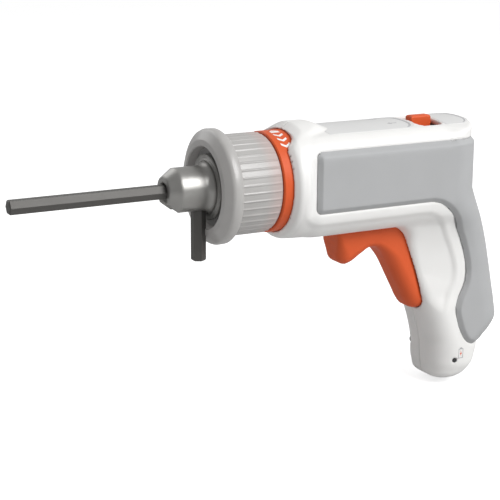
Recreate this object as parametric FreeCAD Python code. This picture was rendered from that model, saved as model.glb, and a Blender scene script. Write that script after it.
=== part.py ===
import FreeCAD, Part
import math
import os

# Pistol-shaped electric screwdriver that turns an L-shaped hex key.
# Millimetres. The origin is the centre of the chuck nose's front face, +X runs along the
# drive axis towards the key's tip, +Z is up and +Y is the tool's left side.

# Fits used all over the tool
RUN_FIT = 0.08
PRESS_FIT = 0.01
LOOSE = 0.3
OVERRUN = 2.0

# Hex key
KEY_FLATS = 6.0
KEY_LONG = 91.5
KEY_SHORT = 36.3
KEY_BEND_R = 6.5
KEY_CHAMFER = 0.5
KEY_FLANGE_GAP = 0.5

# Chuck nose: a slotted steel cone on a stem
NOSE_LENGTH = 20.5
NOSE_FACE_R = 6.7
NOSE_R = 10.2
NOSE_CONE = 5.2
NOSE_FLARE = 4.2
NOSE_BASE_R = 12.1
NOSE_FLARE_SHARE = 0.35
NOSE_BORE_R = 4.2
STEM_LENGTH = 21.5
STEM_R = 8.7
SLOT_ROOM = 0.45

# Clamp jaws, left and right of the key, and the sleeve that closes them
JAW_FRONT = 5.4
JAW_GRIP = 4.6
JAW_HEIGHT = 5.8
JAW_TIP_Y = 1.9
JAW_BAR_IN = 5.0
JAW_BAR_OUT = 6.6
JAW_TRAVEL = 1.7
JAW_ROOM = 0.2
WEDGE_X = 26.5
WEDGE_LENGTH = 4.0
WEDGE_Y = 10.0
SLEEVE_X = 22.5
SLEEVE_TRAVEL = 4.0
SLEEVE_DISC = 3.0
SLEEVE_R = 17.8
SLEEVE_HUB_R = 14.0
SLEEVE_STEP_R = 15.2
SLEEVE_STEP = 0.8
SLEEVE_REAR = 36.0
SPRING_R = 10.6
SPRING_WIRE = 1.4
WASHER_R = 11.5
WASHER_T = 1.0

# Lock collar and its front flange
FLANGE_W = 6.7
FLANGE_R = 25.4
FLANGE_FACE_R = 20.3
FLANGE_MOUTH_R = 18.3
FLANGE_SWELL_SHARE = 0.68
FLANGE_BEND_X_SHARE = 0.20
FLANGE_BEND_R_SHARE = 0.66
COLLAR_W = 20.6
COLLAR_R = 22.6
COLLAR_STEP = 10.0
RIB_COUNT = 40
RIB_W = 0.9
RIB_H = 0.5
RIB_MARGIN = 1.2

# Indicator ring with its pointer tab
RING_W = 5.2
RING_R = 23.2
RING_SEAT = 6.0
TAB_R = 23.6
TAB_BACK = 5.4
TAB_ANGLE = 26.0
TAB_HALF_ANGLE = 22.0

# Neck that carries the collar, with the spindle's bush
NECK_R = 19.5
NECK_BORE_R = 16.5
NECK_FRONT = 31.0
NECK_WEB_X = 46.0
NECK_LIP = 2.0
FLANGE_T = 3.0
NECK_FLANGE_R = 22.5
BUSH_R = 7.5
BUSH_LENGTH = 10.0
CASE_SCREWS = 3
CASE_SCREW_R = 1.0
CASE_SCREW_HEAD_R = 1.8
CASE_SCREW_HEAD = 1.4
CASE_SCREW_CIRCLE_R = 20.6

# Output spindle
SPINDLE_R = 4.0
SPINDLE_TIP_R = 3.5
SPINDLE_TIP = 11.5
CROSS_PIN_R = 1.25
CROSS_PIN_X = 39.0
CLIP_R = 6.2
CLIP_T = 0.8
CLIP_GROOVE = 0.8
CLIP_MOUTH = 4.0

# Two planetary stages in one ring gear
MODULE = 0.7
SUN_TEETH = 9
PLANET_TEETH = 18
RING_TEETH = 45
PRESSURE_ANGLE = 25.0
ADDENDUM_SHARE = 0.80
DEDENDUM_SHARE = 1.05
TOOTH_THINNING = 0.07
FLANK_STEPS = 5
PLANETS = 3
GEAR_W = 5.5
GEAR_GAP = 0.3
CARRIER_R = 13.5
CARRIER_T = 2.7
PLANET_PIN_R = 1.5
DRUM_WALL = 2.0
DRUM_FRONT_ROOM = 0.8
DRUM_REAR_ROOM = 1.2
COVER_T = 2.5

# Motor
MOTOR_R = 13.9
MOTOR_LENGTH = 37.0
MOTOR_WALL = 1.0
MOTOR_BOSS_R = 4.5
MOTOR_BOSS = 1.5
MOTOR_CAP = 5.0
MOTOR_CAP_R = 13.2
SHAFT_R = 1.15
SHAFT_TAIL = 2.0
MAGNET_T = 2.4
MAGNET_LENGTH = 26.0
MAGNET_HALF_ANGLE = 62.0
ROTOR_R = 9.6
ROTOR_LENGTH = 23.0
ROTOR_FRONT_ROOM = 5.0
ROTOR_POLES = 3
ROTOR_SLOT_W = 2.2
ROTOR_SLOT_DEPTH = 4.5
COMMUTATOR_R = 3.8
COMMUTATOR_LENGTH = 4.0
TERMINAL_W = 3.0
TERMINAL_T = 0.6
TERMINAL_LENGTH = 4.5
TERMINAL_Z = 8.0
MOTOR_RIB_SHARES = (0.25, 0.85)

# Housing: two shells, barrel and handle
WALL = 2.5
FRONT_R = 26.6
FRONT_EDGE = 3.4
FRONT_TAPER = 8.0
FRONT_RING = 11.5
BARREL_HALF = 23.5
BARREL_TOP = 23.4
BARREL_SIDE_TOP = 11.4
BARREL_BOTTOM = 26.0
BARREL_TOP_R = 8.0
BARREL_BOTTOM_R = 13.0
BARREL_REAR_R = 16.0
BARREL_REAR_TOP_R = 3.5
BARREL_ROUND_SHARE = 0.9
REAR_SPACE = 29.1
HANDLE_DEPTH = 48.0
HANDLE_DROP = 109.0
HANDLE_FRONT_R_SHARE = 0.74
HANDLE_BACK_R_SHARE = 0.86
HANDLE_ROUND_SHARE = 0.47
REAR_ANGLES = (0.0, 25.0, 45.0, 62.0, 76.0, 87.0)
RIB_T = 2.0

# Level down the handle, front and back from the barrel's rear end, half width
HANDLE_SHARES = (
    (0.00, 0.929, 0.020, 0.965),
    (0.12, 0.886, -0.076, 0.950),
    (0.18, 0.838, -0.135, 0.880),
    (0.25, 0.780, -0.208, 0.775),
    (0.33, 0.718, -0.272, 0.695),
    (0.45, 0.619, -0.339, 0.655),
    (0.58, 0.505, -0.400, 0.660),
    (0.65, 0.505, -0.433, 0.670),
    (0.73, 0.418, -0.439, 0.690),
    (0.765, 0.394, -0.378, 0.700),
    (0.80, 0.372, -0.285, 0.715),
    (0.87, 0.361, -0.264, 0.720),
    (0.935, 0.337, -0.208, 0.670),
    (0.98, 0.268, -0.073, 0.500),
    (1.00, 0.145, 0.011, 0.320),
)

# Soft grips moulded into the shells' sides and round the handle's back
GRIP_PROUD = 1.5
GRIP_SUNK = 0.8
GRIP_TOP = 16.0
GRIP_FRONT = 11.8
GRIP_CORNER_R = 3.0
# Lower edge, from the barrel's straight stretch round the handle to its back
GRIP_EDGE_SHARES = (
    (0.520, 0.1205),
    (0.305, 0.1600),
    (0.250, 0.1960),
    (0.141, 0.2886),
    (0.036, 0.4330),
    (0.018, 0.4800),
    (0.049, 0.5390),
    (0.130, 0.6050),
    (0.157, 0.6500),
    (0.132, 0.6980),
    (0.086, 0.7680),
    (0.045, 0.7980),
    (-0.022, 0.8155),
    (-0.186, 0.8200),
    (-0.520, 0.8200),
)

# Plate on the barrel's top
PLATE_FRONT = 20.0
PLATE_LENGTH = 52.0
PLATE_HALF = 11.5
PLATE_T = 1.2
PLATE_CORNER_R = 3.0

# Direction slider, which crosses a well in the barrel's top, and its switch
SLIDER_X = 74.65
SLIDER_LENGTH = 10.9
SLIDER_HALF = 2.55
SLIDER_RISE = 2.0
SLIDER_TRAVEL = 4.2
SLIDER_EDGE = 1.2
WELL_ROOM = 1.15
WELL_HALF = 11.5
WELL_DEPTH = 4.6
WELL_CORNER_R = 2.0
SHUTTER_LAP = 0.9
SHUTTER_T = 1.4
LUG_LENGTH = 4.0
LUG_HALF = 1.5
LUG_DROP = 3.0
DIRECTION_LENGTH = 9.0
DIRECTION_HALF = 8.0
DIRECTION_HEIGHT = 5.8

# Trigger, its pin, spring and switch
TRIGGER_X = 34.5
TRIGGER_LENGTH = 51.0
TRIGGER_DROP = 44.8
TRIGGER_HALF = 9.0
TRIGGER_EDGE = 2.8
TRIGGER_ROUND_ANGLES = (0.0, 22.0, 44.0, 66.0, 88.0)
TRIGGER_PULL = 3.5
PIVOT_BACK = 4.5
PIVOT_RISE = 5.0
TRIGGER_PIN_R = 1.5
TRIGGER_LUG_R = 3.4
TRIGGER_LUG_HALF = 4.5
PIN_SEAT_R = 3.2
TRIGGER_SPRING_R = 2.8
TRIGGER_SPRING_W = 3.0
# Shares of the trigger's length and drop: the pressed face, then the back inside the shells
TRIGGER_FACE_SHARES = (
    (0.000, 0.285),
    (0.026, 0.343),
    (0.078, 0.365),
    (0.147, 0.338),
    (0.245, 0.255),
    (0.333, 0.207),
    (0.412, 0.224),
    (0.490, 0.286),
    (0.559, 0.418),
    (0.633, 0.593),
    (0.708, 0.769),
    (0.775, 0.912),
    (0.820, 0.980),
    (0.882, 0.993),
)
TRIGGER_BACK_SHARES = (
    (0.990, 0.970),
    (1.020, 0.880),
    (0.800, 0.143),
    (0.720, 0.010),
    (0.600, -0.050),
    (0.000, -0.050),
)
# Parts of the pull that the trigger's room covers, and how far its well reaches back and down
TRIGGER_ROOM_SHARES = (0.0, 0.2, 0.4, 0.6, 0.8, 1.0)
TRIGGER_WELL_SHARES = (0.85, 0.25)
SWITCH_LEVEL = 52.0
SWITCH_HEIGHT = 9.0
SWITCH_DEPTH = 5.6
SWITCH_HALF = 6.0
PLUNGER_R = 1.8
PLUNGER_STROKE = 3.0
PLUNGER_OUT = 5.0
PLUNGER_IN = 1.6
PLUNGER_CLEAR = 0.9

# Battery and charging pieces in the handle
CELL_R = 9.2
CELL_LENGTH = 65.0
CELL_TOP = 29.5
CELL_X = 2.65
CELL_LEAN = 2.2
CELL_STUD_R = 3.2
CELL_STUD = 1.2
CONTACT_R = 6.5
CONTACT_T = 0.6
BATTERY_RIB_SHARES = (0.30, 0.62, 0.92)
BOARD_LEVEL = 99.9
BOARD_T = 1.6
BOARD_FRONT = 11.0
BOARD_LENGTH = 14.2
BOARD_HALF = 6.5
SHELF_HALF = 4.5
PORT_DEPTH = 8.4
PORT_HALF = 3.8
PORT_HEIGHT = 2.7
PORT_ROOM = 0.35
PORT_INSET = 1.6
PORT_SKIN = 0.4
LAMP_R = 1.1
LAMP_IN = 12.0
LAMP_LEVEL = 97.0
LAMP_BACK = 7.1

# Control board behind the motor
CONTROL_BACK = 12.0
CONTROL_HALF = 17.0
CONTROL_TOP = 8.0
CONTROL_BOTTOM = 12.0
CHIP_SIZE = 9.0
CHIP_T = 4.0

# Screws that close the shells, put in from the right side
SCREW_R = 1.4
SCREW_HEAD_R = 2.7
SCREW_HEAD = 2.2
SCREW_GRIP = 9.0
SCREW_BITE = 8.0
BOSS_R = 3.2
# Along the barrel from its rear end by its length, and down by the handle's drop
SCREW_SHARES = (
    (0.7886, 0.2060),
    (0.0822, -0.0734),
    (0.0149, 0.2110),
    (0.1446, 0.6880),
    (0.1293, 0.8440),
    (-0.1341, 0.7294),
)

# Places worked out along the drive axis
FLANGE_X = -NOSE_LENGTH
COLLAR_X = FLANGE_X - FLANGE_W
RING_X = COLLAR_X - COLLAR_W
FACE_X = RING_X - RING_W
KEY_X = FLANGE_X + KEY_FLANGE_GAP + KEY_FLATS / 2
KEY_TIP_X = KEY_X - KEY_FLATS / 2 + KEY_LONG
KEY_CORNER = KEY_FLATS / math.sqrt(3)
STEM_X = FLANGE_X - STEM_LENGTH
WEB_T = NECK_LIP
NECK_FLANGE_X = FACE_X - RING_SEAT - WEB_T - LOOSE / 2
DRUM_X = NECK_FLANGE_X - FLANGE_T
PITCH_SUN = MODULE * SUN_TEETH / 2
PITCH_PLANET = MODULE * PLANET_TEETH / 2
PITCH_RING = MODULE * RING_TEETH / 2
PLANET_CIRCLE_R = PITCH_SUN + PITCH_PLANET
DRUM_BORE_R = PITCH_RING + MODULE * DEDENDUM_SHARE + RUN_FIT
DRUM_R = DRUM_BORE_R + DRUM_WALL
CARRIER_TWO_X = DRUM_X - DRUM_FRONT_ROOM
PLANET_TWO_X = CARRIER_TWO_X - CARRIER_T - GEAR_GAP
CARRIER_ONE_X = PLANET_TWO_X - GEAR_W - GEAR_GAP
PLANET_ONE_X = CARRIER_ONE_X - CARRIER_T - GEAR_GAP
COVER_X = PLANET_ONE_X - GEAR_W - DRUM_REAR_ROOM
MOTOR_X = COVER_X - COVER_T
MOTOR_CAP_X = MOTOR_X - MOTOR_LENGTH
MOTOR_REAR_X = MOTOR_CAP_X - MOTOR_CAP
BARREL_REAR_X = MOTOR_REAR_X - REAR_SPACE
BODY_LENGTH = FACE_X - BARREL_REAR_X
PIVOT_X = FACE_X - TRIGGER_X - PIVOT_BACK
PIVOT_Z = PIVOT_RISE - BARREL_BOTTOM
SLIDER_FRONT_X = FACE_X - SLIDER_X
CONTROL_X = MOTOR_REAR_X - CONTROL_BACK
INNER_TOP = BARREL_TOP - WALL
RING_SEAT_R = RING_R + LOOSE
GROOVE_REAR_X = DRUM_X - FLANGE_T - CASE_SCREW_HEAD - LOOSE

V = FreeCAD.Vector
ORIGIN = V(0, 0, 0)
X_AXIS = V(1, 0, 0)
Y_AXIS = V(0, 1, 0)
Z_AXIS = V(0, 0, 1)
FULL_TURN = 360.0


def bar(x_front, length, radius, y=0, z=0):
    """Round bar along the drive axis, from its front end backwards."""
    return Part.makeCylinder(radius, length, V(x_front - length, y, z), X_AXIS)


def collar_of(x_front, length, outer, inner):
    """Plain ring on the drive axis."""
    hole = bar(x_front + OVERRUN, length + 2 * OVERRUN, inner)
    return bar(x_front, length, outer).cut(hole)


def cross_bar(x, z, radius, y_low, y_high):
    """Round bar across the tool."""
    return Part.makeCylinder(radius, y_high - y_low, V(x, y_low, z), Y_AXIS)


def block(x_rear, x_front, y_low, y_high, z_low, z_high):
    return Part.makeBox(x_front - x_rear, y_high - y_low, z_high - z_low, V(x_rear, y_low, z_low))


def turned(corners):
    """Solid of revolution about the drive axis from corners (x, radius)."""
    points = [V(x, 0, radius) for x, radius in corners]
    face = Part.Face(Part.makePolygon(points + points[:1]))
    return face.revolve(ORIGIN, X_AXIS, FULL_TURN)


def through(start, end):
    return Part.LineSegment(start, end).toShape()


def arc(start, middle, end):
    return Part.Arc(start, middle, end).toShape()


def spline(points):
    curve = Part.BSplineCurve()
    curve.interpolate(points)
    return curve.toShape()


def around(angle, radius, x=0):
    """Point at an angle from +Z towards +Y round the drive axis."""
    return V(x, radius * math.sin(math.radians(angle)), radius * math.cos(math.radians(angle)))


def turned_copies(shape, count):
    step = FULL_TURN / count
    copies = []
    for index in range(count):
        copy = shape.copy()
        copy.rotate(ORIGIN, X_AXIS, index * step)
        copies.append(copy)
    return copies


def hexagon(x):
    """Section of the key with flats above and below."""
    corners = []
    for index in range(6):
        angle = math.radians(60 * index)
        corners.append(V(x, KEY_CORNER * math.cos(angle), KEY_CORNER * math.sin(angle)))
    return Part.Face(Part.makePolygon(corners + corners[:1]))


def hex_key():
    bend_x = KEY_X + KEY_BEND_R
    section = hexagon(bend_x)
    long_leg = section.extrude(V(KEY_TIP_X - bend_x, 0, 0))
    tip_edges = [edge for edge in long_leg.Edges if edge.BoundBox.XMin > KEY_TIP_X - KEY_CHAMFER]
    long_leg = long_leg.makeChamfer(KEY_CHAMFER, tip_edges)
    bend = section.revolve(V(bend_x, 0, -KEY_BEND_R), -Y_AXIS, FULL_TURN / 4)
    end_z = KEY_FLATS / 2 - KEY_SHORT
    short_section = hexagon(0)
    short_section.rotate(ORIGIN, Y_AXIS, FULL_TURN / 4)
    short_section.translate(V(KEY_X, 0, -KEY_BEND_R))
    short_leg = short_section.extrude(V(0, 0, end_z + KEY_BEND_R))
    end_edges = [edge for edge in short_leg.Edges if edge.BoundBox.ZMax < end_z + KEY_CHAMFER]
    short_leg = short_leg.makeChamfer(KEY_CHAMFER, end_edges)
    return long_leg.fuse([bend, short_leg]).removeSplitter()


def chuck_nose():
    base_x = FLANGE_X
    flare = arc(
        V(base_x + NOSE_FLARE, 0, NOSE_R),
        V(base_x + NOSE_FLARE * NOSE_FLARE_SHARE, 0, NOSE_R + (NOSE_BASE_R - NOSE_R) * NOSE_FLARE_SHARE),
        V(base_x, 0, NOSE_BASE_R),
    )
    outline = [
        through(ORIGIN, V(0, 0, NOSE_FACE_R)),
        through(V(0, 0, NOSE_FACE_R), V(-NOSE_CONE, 0, NOSE_R)),
        through(V(-NOSE_CONE, 0, NOSE_R), V(base_x + NOSE_FLARE, 0, NOSE_R)),
        flare,
        through(V(base_x, 0, NOSE_BASE_R), V(base_x, 0, STEM_R)),
        through(V(base_x, 0, STEM_R), V(STEM_X, 0, STEM_R)),
        through(V(STEM_X, 0, STEM_R), V(STEM_X, 0, 0)),
        through(V(STEM_X, 0, 0), ORIGIN),
    ]
    nose = Part.Face(Part.Wire(outline)).revolve(ORIGIN, X_AXIS, FULL_TURN)
    slot_rear = KEY_X - KEY_FLATS / 2 - SLOT_ROOM
    slot_half = KEY_CORNER + SLOT_ROOM
    slot = block(slot_rear, OVERRUN, -slot_half, slot_half, -NOSE_BASE_R - OVERRUN, 0)
    bore = bar(OVERRUN, OVERRUN - slot_rear, NOSE_BORE_R)
    height = JAW_HEIGHT / 2 + JAW_ROOM
    reach = JAW_BAR_OUT + JAW_TRAVEL + JAW_ROOM
    front = block(slot_rear, -JAW_FRONT + JAW_ROOM, -reach, reach, -height, height)
    nose = nose.cut(slot.fuse([bore, front]))
    for side in (-1, 1):
        low, high = sorted((side * (JAW_BAR_IN - JAW_ROOM), side * reach))
        channel = block(-WEDGE_X - WEDGE_LENGTH - JAW_ROOM, slot_rear + OVERRUN, low, high, -height, height)
        low, high = sorted((side * (JAW_BAR_IN - JAW_ROOM), side * (STEM_R + OVERRUN)))
        wedge_rear = -WEDGE_X - WEDGE_LENGTH - JAW_ROOM
        window = block(wedge_rear, -WEDGE_X + JAW_ROOM, low, high, -height, height)
        nose = nose.cut(channel.fuse(window))
    tail = bar(STEM_X + SPINDLE_TIP, SPINDLE_TIP + OVERRUN, SPINDLE_TIP_R + PRESS_FIT)
    pin_hole = Part.makeCylinder(
        CROSS_PIN_R + PRESS_FIT, 2 * NOSE_BASE_R, V(-CROSS_PIN_X, 0, -NOSE_BASE_R), Z_AXIS
    )
    return nose.cut(tail.fuse(pin_hole))


def clamp_jaw(side):
    """Jaw with a vee for the key's corner, a bar along the stem and a wedge at its rear."""
    grip_rear = -JAW_FRONT - JAW_GRIP
    bar_rear = -WEDGE_X - WEDGE_LENGTH
    half = JAW_HEIGHT / 2
    vee_y = KEY_CORNER + RUN_FIT
    corners = [(vee_y, 0), (JAW_TIP_Y, half), (JAW_BAR_OUT, half), (JAW_BAR_OUT, -half), (JAW_TIP_Y, -half)]
    points = [V(grip_rear, side * y, z) for y, z in corners]
    head = Part.Face(Part.makePolygon(points + points[:1])).extrude(V(JAW_GRIP, 0, 0))
    low, high = sorted((side * JAW_BAR_IN, side * JAW_BAR_OUT))
    rail = block(bar_rear, -JAW_FRONT, low, high, -half, half)
    rear_y = WEDGE_Y - WEDGE_LENGTH * JAW_TRAVEL / SLEEVE_TRAVEL
    wedge_corners = [
        (-WEDGE_X, JAW_BAR_IN),
        (-WEDGE_X, WEDGE_Y),
        (bar_rear, rear_y),
        (bar_rear, JAW_BAR_IN),
    ]
    points = [V(x, side * y, -half) for x, y in wedge_corners]
    wedge = Part.Face(Part.makePolygon(points + points[:1])).extrude(V(0, 0, JAW_HEIGHT))
    return head.fuse([rail, wedge]).removeSplitter()


def clamp_sleeve():
    """Turned sleeve whose cone runs over the jaws' wedges."""
    slope = JAW_TRAVEL / SLEEVE_TRAVEL
    guide_r = STEM_R + RUN_FIT
    wedge_rear = -WEDGE_X - WEDGE_LENGTH
    corner = math.hypot(WEDGE_Y, JAW_HEIGHT / 2) + JAW_ROOM
    rear_r = corner - slope * WEDGE_LENGTH
    front_r = corner + slope * (WEDGE_X - SLEEVE_X)
    front = -SLEEVE_X
    return turned([
        (front, front_r),
        (front, SLEEVE_STEP_R),
        (front - SLEEVE_STEP, SLEEVE_STEP_R),
        (front - SLEEVE_STEP, SLEEVE_R),
        (front - SLEEVE_DISC, SLEEVE_R),
        (front - SLEEVE_DISC, SLEEVE_HUB_R),
        (-SLEEVE_REAR, SLEEVE_HUB_R),
        (-SLEEVE_REAR, guide_r),
        (wedge_rear - LOOSE, guide_r),
        (wedge_rear, rear_r),
    ])


def washer_x():
    """Front of the thrust washer, just ahead of the neck's web."""
    return WASHER_T + LOOSE - NECK_WEB_X


def sleeve_spring():
    """Return spring between the clamp sleeve and the thrust washer, as a plain tube."""
    front = -SLEEVE_REAR - LOOSE / 2
    rear = washer_x() + LOOSE / 2
    return collar_of(front, front - rear, SPRING_R, SPRING_R - SPRING_WIRE)


def thrust_washer():
    return collar_of(washer_x(), WASHER_T, WASHER_R, SPINDLE_R + PRESS_FIT)


def clip_x():
    """Front of the clip, just behind the bush."""
    return bush_x() - BUSH_LENGTH - LOOSE


def bush_x():
    return -NECK_WEB_X - NECK_LIP


def spindle_clip():
    """Open spring clip in the spindle's groove."""
    x = clip_x() - RUN_FIT / 2
    clip = collar_of(x, CLIP_T, CLIP_R, SPINDLE_R - CLIP_GROOVE + RUN_FIT)
    mouth = block(x - CLIP_T - OVERRUN, x + OVERRUN, -CLIP_MOUTH / 2, CLIP_MOUTH / 2, -CLIP_R - OVERRUN, 0)
    return clip.cut(mouth)


def cross_pin():
    return Part.makeCylinder(CROSS_PIN_R, 2 * STEM_R - LOOSE, V(-CROSS_PIN_X, 0, LOOSE / 2 - STEM_R), Z_AXIS)


def collar_flange():
    """Rounded front ring of the lock collar, open in the middle for the nose."""
    rear = COLLAR_X
    rise = FLANGE_R - FLANGE_FACE_R
    swell_x = FLANGE_X - FLANGE_W * FLANGE_SWELL_SHARE
    bend = V(FLANGE_X - FLANGE_W * FLANGE_BEND_X_SHARE, 0, FLANGE_FACE_R + rise * FLANGE_BEND_R_SHARE)
    outline = [
        through(V(FLANGE_X, 0, FLANGE_MOUTH_R), V(FLANGE_X, 0, FLANGE_FACE_R)),
        arc(V(FLANGE_X, 0, FLANGE_FACE_R), bend, V(swell_x, 0, FLANGE_R)),
        through(V(swell_x, 0, FLANGE_R), V(rear, 0, FLANGE_R)),
        through(V(rear, 0, FLANGE_R), V(rear, 0, FLANGE_MOUTH_R)),
        through(V(rear, 0, FLANGE_MOUTH_R), V(FLANGE_X, 0, FLANGE_MOUTH_R)),
    ]
    return Part.Face(Part.Wire(outline)).revolve(ORIGIN, X_AXIS, FULL_TURN)


def lock_collar():
    """Ribbed twist collar that runs on the neck."""
    rear = RING_X + LOOSE
    step_x = -NECK_FRONT + LOOSE
    body = turned([
        (COLLAR_X, FLANGE_MOUTH_R),
        (COLLAR_X, COLLAR_R),
        (rear, COLLAR_R),
        (rear, NECK_R + RUN_FIT),
        (step_x, NECK_R + RUN_FIT),
        (step_x, FLANGE_MOUTH_R),
    ])
    length = COLLAR_X - rear - 2 * RIB_MARGIN
    rib = block(
        COLLAR_X - RIB_MARGIN - length, COLLAR_X - RIB_MARGIN,
        -RIB_W / 2, RIB_W / 2, COLLAR_R - RIB_H, COLLAR_R + RIB_H,
    )
    return body.fuse(turned_copies(rib, RIB_COUNT))


def tab_sector(outer, room):
    """Sector of the indicator ring's pointer tab, grown by a clearance."""
    reach = TAB_HALF_ANGLE + math.degrees(room / outer)
    back = FACE_X - TAB_BACK - room
    front = FACE_X + OVERRUN
    sector = bar(front, front - back, outer)
    corners = [V(back, 0, 0)]
    for angle in (-reach, 0, reach):
        corners.append(around(TAB_ANGLE + angle, 2 * outer, back))
    wedge = Part.Face(Part.makePolygon(corners + corners[:1])).extrude(V(front - back, 0, 0))
    return sector.common(wedge)


def indicator_ring():
    """Fixed ring behind the collar, with a tab that points at the lock marks."""
    inner = NECK_R + PRESS_FIT
    rear_length = RING_W + TAB_BACK
    ring = collar_of(RING_X, rear_length, RING_R, inner)
    tab = tab_sector(TAB_R, 0).cut(bar(FACE_X + 2 * OVERRUN, 4 * OVERRUN + TAB_BACK, inner))
    return ring.fuse(tab).removeSplitter()


def neck():
    """Front neck: collar bearing outside, spindle bush inside, flange behind."""
    rear = NECK_FLANGE_X - FLANGE_T
    body = turned([
        (-NECK_FRONT, NECK_BORE_R),
        (-NECK_FRONT, NECK_R),
        (NECK_FLANGE_X, NECK_R),
        (NECK_FLANGE_X, NECK_FLANGE_R),
        (rear, NECK_FLANGE_R),
        (rear, BUSH_R + PRESS_FIT),
        (bush_x(), BUSH_R + PRESS_FIT),
        (bush_x(), SPINDLE_R + LOOSE),
        (-NECK_WEB_X, SPINDLE_R + LOOSE),
        (-NECK_WEB_X, NECK_BORE_R),
    ])
    pilot = bar(NECK_FLANGE_X + OVERRUN, FLANGE_T + 2 * OVERRUN, CASE_SCREW_R + PRESS_FIT, 0, CASE_SCREW_CIRCLE_R)
    return body.cut(turned_copies(pilot, CASE_SCREWS))


def spindle_bush():
    return collar_of(bush_x(), BUSH_LENGTH, BUSH_R, SPINDLE_R + RUN_FIT / 2)


def involute(angle):
    return math.tan(angle) - angle


def tooth_outline(teeth, add, ded, thinning):
    """Corners (radius, angle) of a gear whose first tooth is centred on angle zero."""
    pitch = MODULE * teeth / 2
    pressure = math.radians(PRESSURE_ANGLE)
    base = pitch * math.cos(pressure)
    root = pitch - ded
    tip = pitch + add
    half = math.pi / (2 * teeth) - thinning / pitch
    flank = []
    for index in range(FLANK_STEPS + 1):
        radius = root + (tip - root) * index / FLANK_STEPS
        roll = math.acos(min(1.0, base / radius))
        flank.append((radius, half + involute(pressure) - involute(roll)))
    corners = []
    for tooth in range(teeth):
        centre = 2 * math.pi * tooth / teeth
        corners += [(radius, centre - angle) for radius, angle in flank]
        corners += [(radius, centre + angle) for radius, angle in reversed(flank)]
    return corners


def gear(teeth, x_front, width, turn, add, ded, thinning):
    """Toothed bar on the drive axis, turned by an angle in radians."""
    points = []
    for radius, angle in tooth_outline(teeth, add, ded, thinning):
        points.append(V(x_front, radius * math.cos(angle + turn), radius * math.sin(angle + turn)))
    face = Part.Face(Part.makePolygon(points + points[:1]))
    return face.extrude(V(-width, 0, 0))


def spur(teeth, x_front, width, turn):
    add = MODULE * ADDENDUM_SHARE
    ded = MODULE * DEDENDUM_SHARE
    return gear(teeth, x_front, width, turn, add, ded, TOOTH_THINNING)


def planet(x_front, index):
    """Planet gear on its pin, in mesh with a sun whose first tooth is at angle zero."""
    place = 2 * math.pi * index / PLANETS
    turn = place + math.pi + (place * SUN_TEETH - math.pi) / PLANET_TEETH
    wheel = spur(PLANET_TEETH, x_front, GEAR_W, turn)
    wheel = wheel.cut(bar(x_front + OVERRUN, GEAR_W + 2 * OVERRUN, PLANET_PIN_R + RUN_FIT / 2))
    wheel.translate(V(0, PLANET_CIRCLE_R * math.cos(place), PLANET_CIRCLE_R * math.sin(place)))
    return wheel


def planet_pins(x_front):
    """Three pins from a carrier's front face to the rear of its planets."""
    length = CARRIER_T + GEAR_GAP + GEAR_W
    pins = []
    for index in range(PLANETS):
        place = 2 * math.pi * index / PLANETS
        y = PLANET_CIRCLE_R * math.cos(place)
        z = PLANET_CIRCLE_R * math.sin(place)
        pins.append(bar(x_front, length, PLANET_PIN_R, y, z))
    return pins


def carrier_disc(x_front):
    disc = bar(x_front, CARRIER_T, CARRIER_R)
    holes = []
    for index in range(PLANETS):
        place = 2 * math.pi * index / PLANETS
        y = PLANET_CIRCLE_R * math.cos(place)
        z = PLANET_CIRCLE_R * math.sin(place)
        holes.append(bar(x_front + OVERRUN, CARRIER_T + 2 * OVERRUN, PLANET_PIN_R + PRESS_FIT, y, z))
    return disc.cut(holes)


def output_spindle():
    """Spindle in one piece with the second stage's carrier."""
    tip_x = STEM_X + SPINDLE_TIP
    body_x = STEM_X - LOOSE
    shaft = bar(tip_x, SPINDLE_TIP + LOOSE, SPINDLE_TIP_R)
    shaft = shaft.fuse(bar(body_x, body_x - CARRIER_TWO_X, SPINDLE_R))
    pin_hole = Part.makeCylinder(
        CROSS_PIN_R + PRESS_FIT, 2 * STEM_R, V(-CROSS_PIN_X, 0, -STEM_R), Z_AXIS
    )
    groove = collar_of(clip_x(), CLIP_T + RUN_FIT, SPINDLE_R + OVERRUN, SPINDLE_R - CLIP_GROOVE)
    shaft = shaft.cut(pin_hole.fuse(groove))
    return shaft.fuse(carrier_disc(CARRIER_TWO_X))


def carrier_one():
    """First carrier, in one piece with the second stage's sun."""
    sun_x = PLANET_TWO_X
    sun = spur(SUN_TEETH, sun_x, sun_x - CARRIER_ONE_X, 0)
    return carrier_disc(CARRIER_ONE_X).fuse(sun)


def gear_drum():
    """Gearbox drum with the ring gear's teeth cut inside and a screwed flange in front."""
    drum = bar(DRUM_X, DRUM_X - COVER_X, DRUM_R)
    flange = bar(DRUM_X, FLANGE_T, NECK_FLANGE_R)
    body = drum.fuse(flange)
    room_x = PLANET_TWO_X + GEAR_GAP
    body = body.cut(bar(DRUM_X + OVERRUN, DRUM_X + OVERRUN - room_x, DRUM_BORE_R))
    add = MODULE * DEDENDUM_SHARE
    ded = MODULE * ADDENDUM_SHARE
    half_pitch = math.pi / RING_TEETH
    space = gear(RING_TEETH, room_x + OVERRUN, room_x - COVER_X + 2 * OVERRUN, half_pitch, add, ded, -TOOTH_THINNING)
    body = body.cut(space)
    hole = bar(DRUM_X + OVERRUN, FLANGE_T + 2 * OVERRUN, CASE_SCREW_R + RUN_FIT, 0, CASE_SCREW_CIRCLE_R)
    return body.cut(turned_copies(hole, CASE_SCREWS)).removeSplitter()


def gearbox_cover():
    return collar_of(COVER_X, COVER_T, DRUM_R, MOTOR_BOSS_R + LOOSE)


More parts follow.
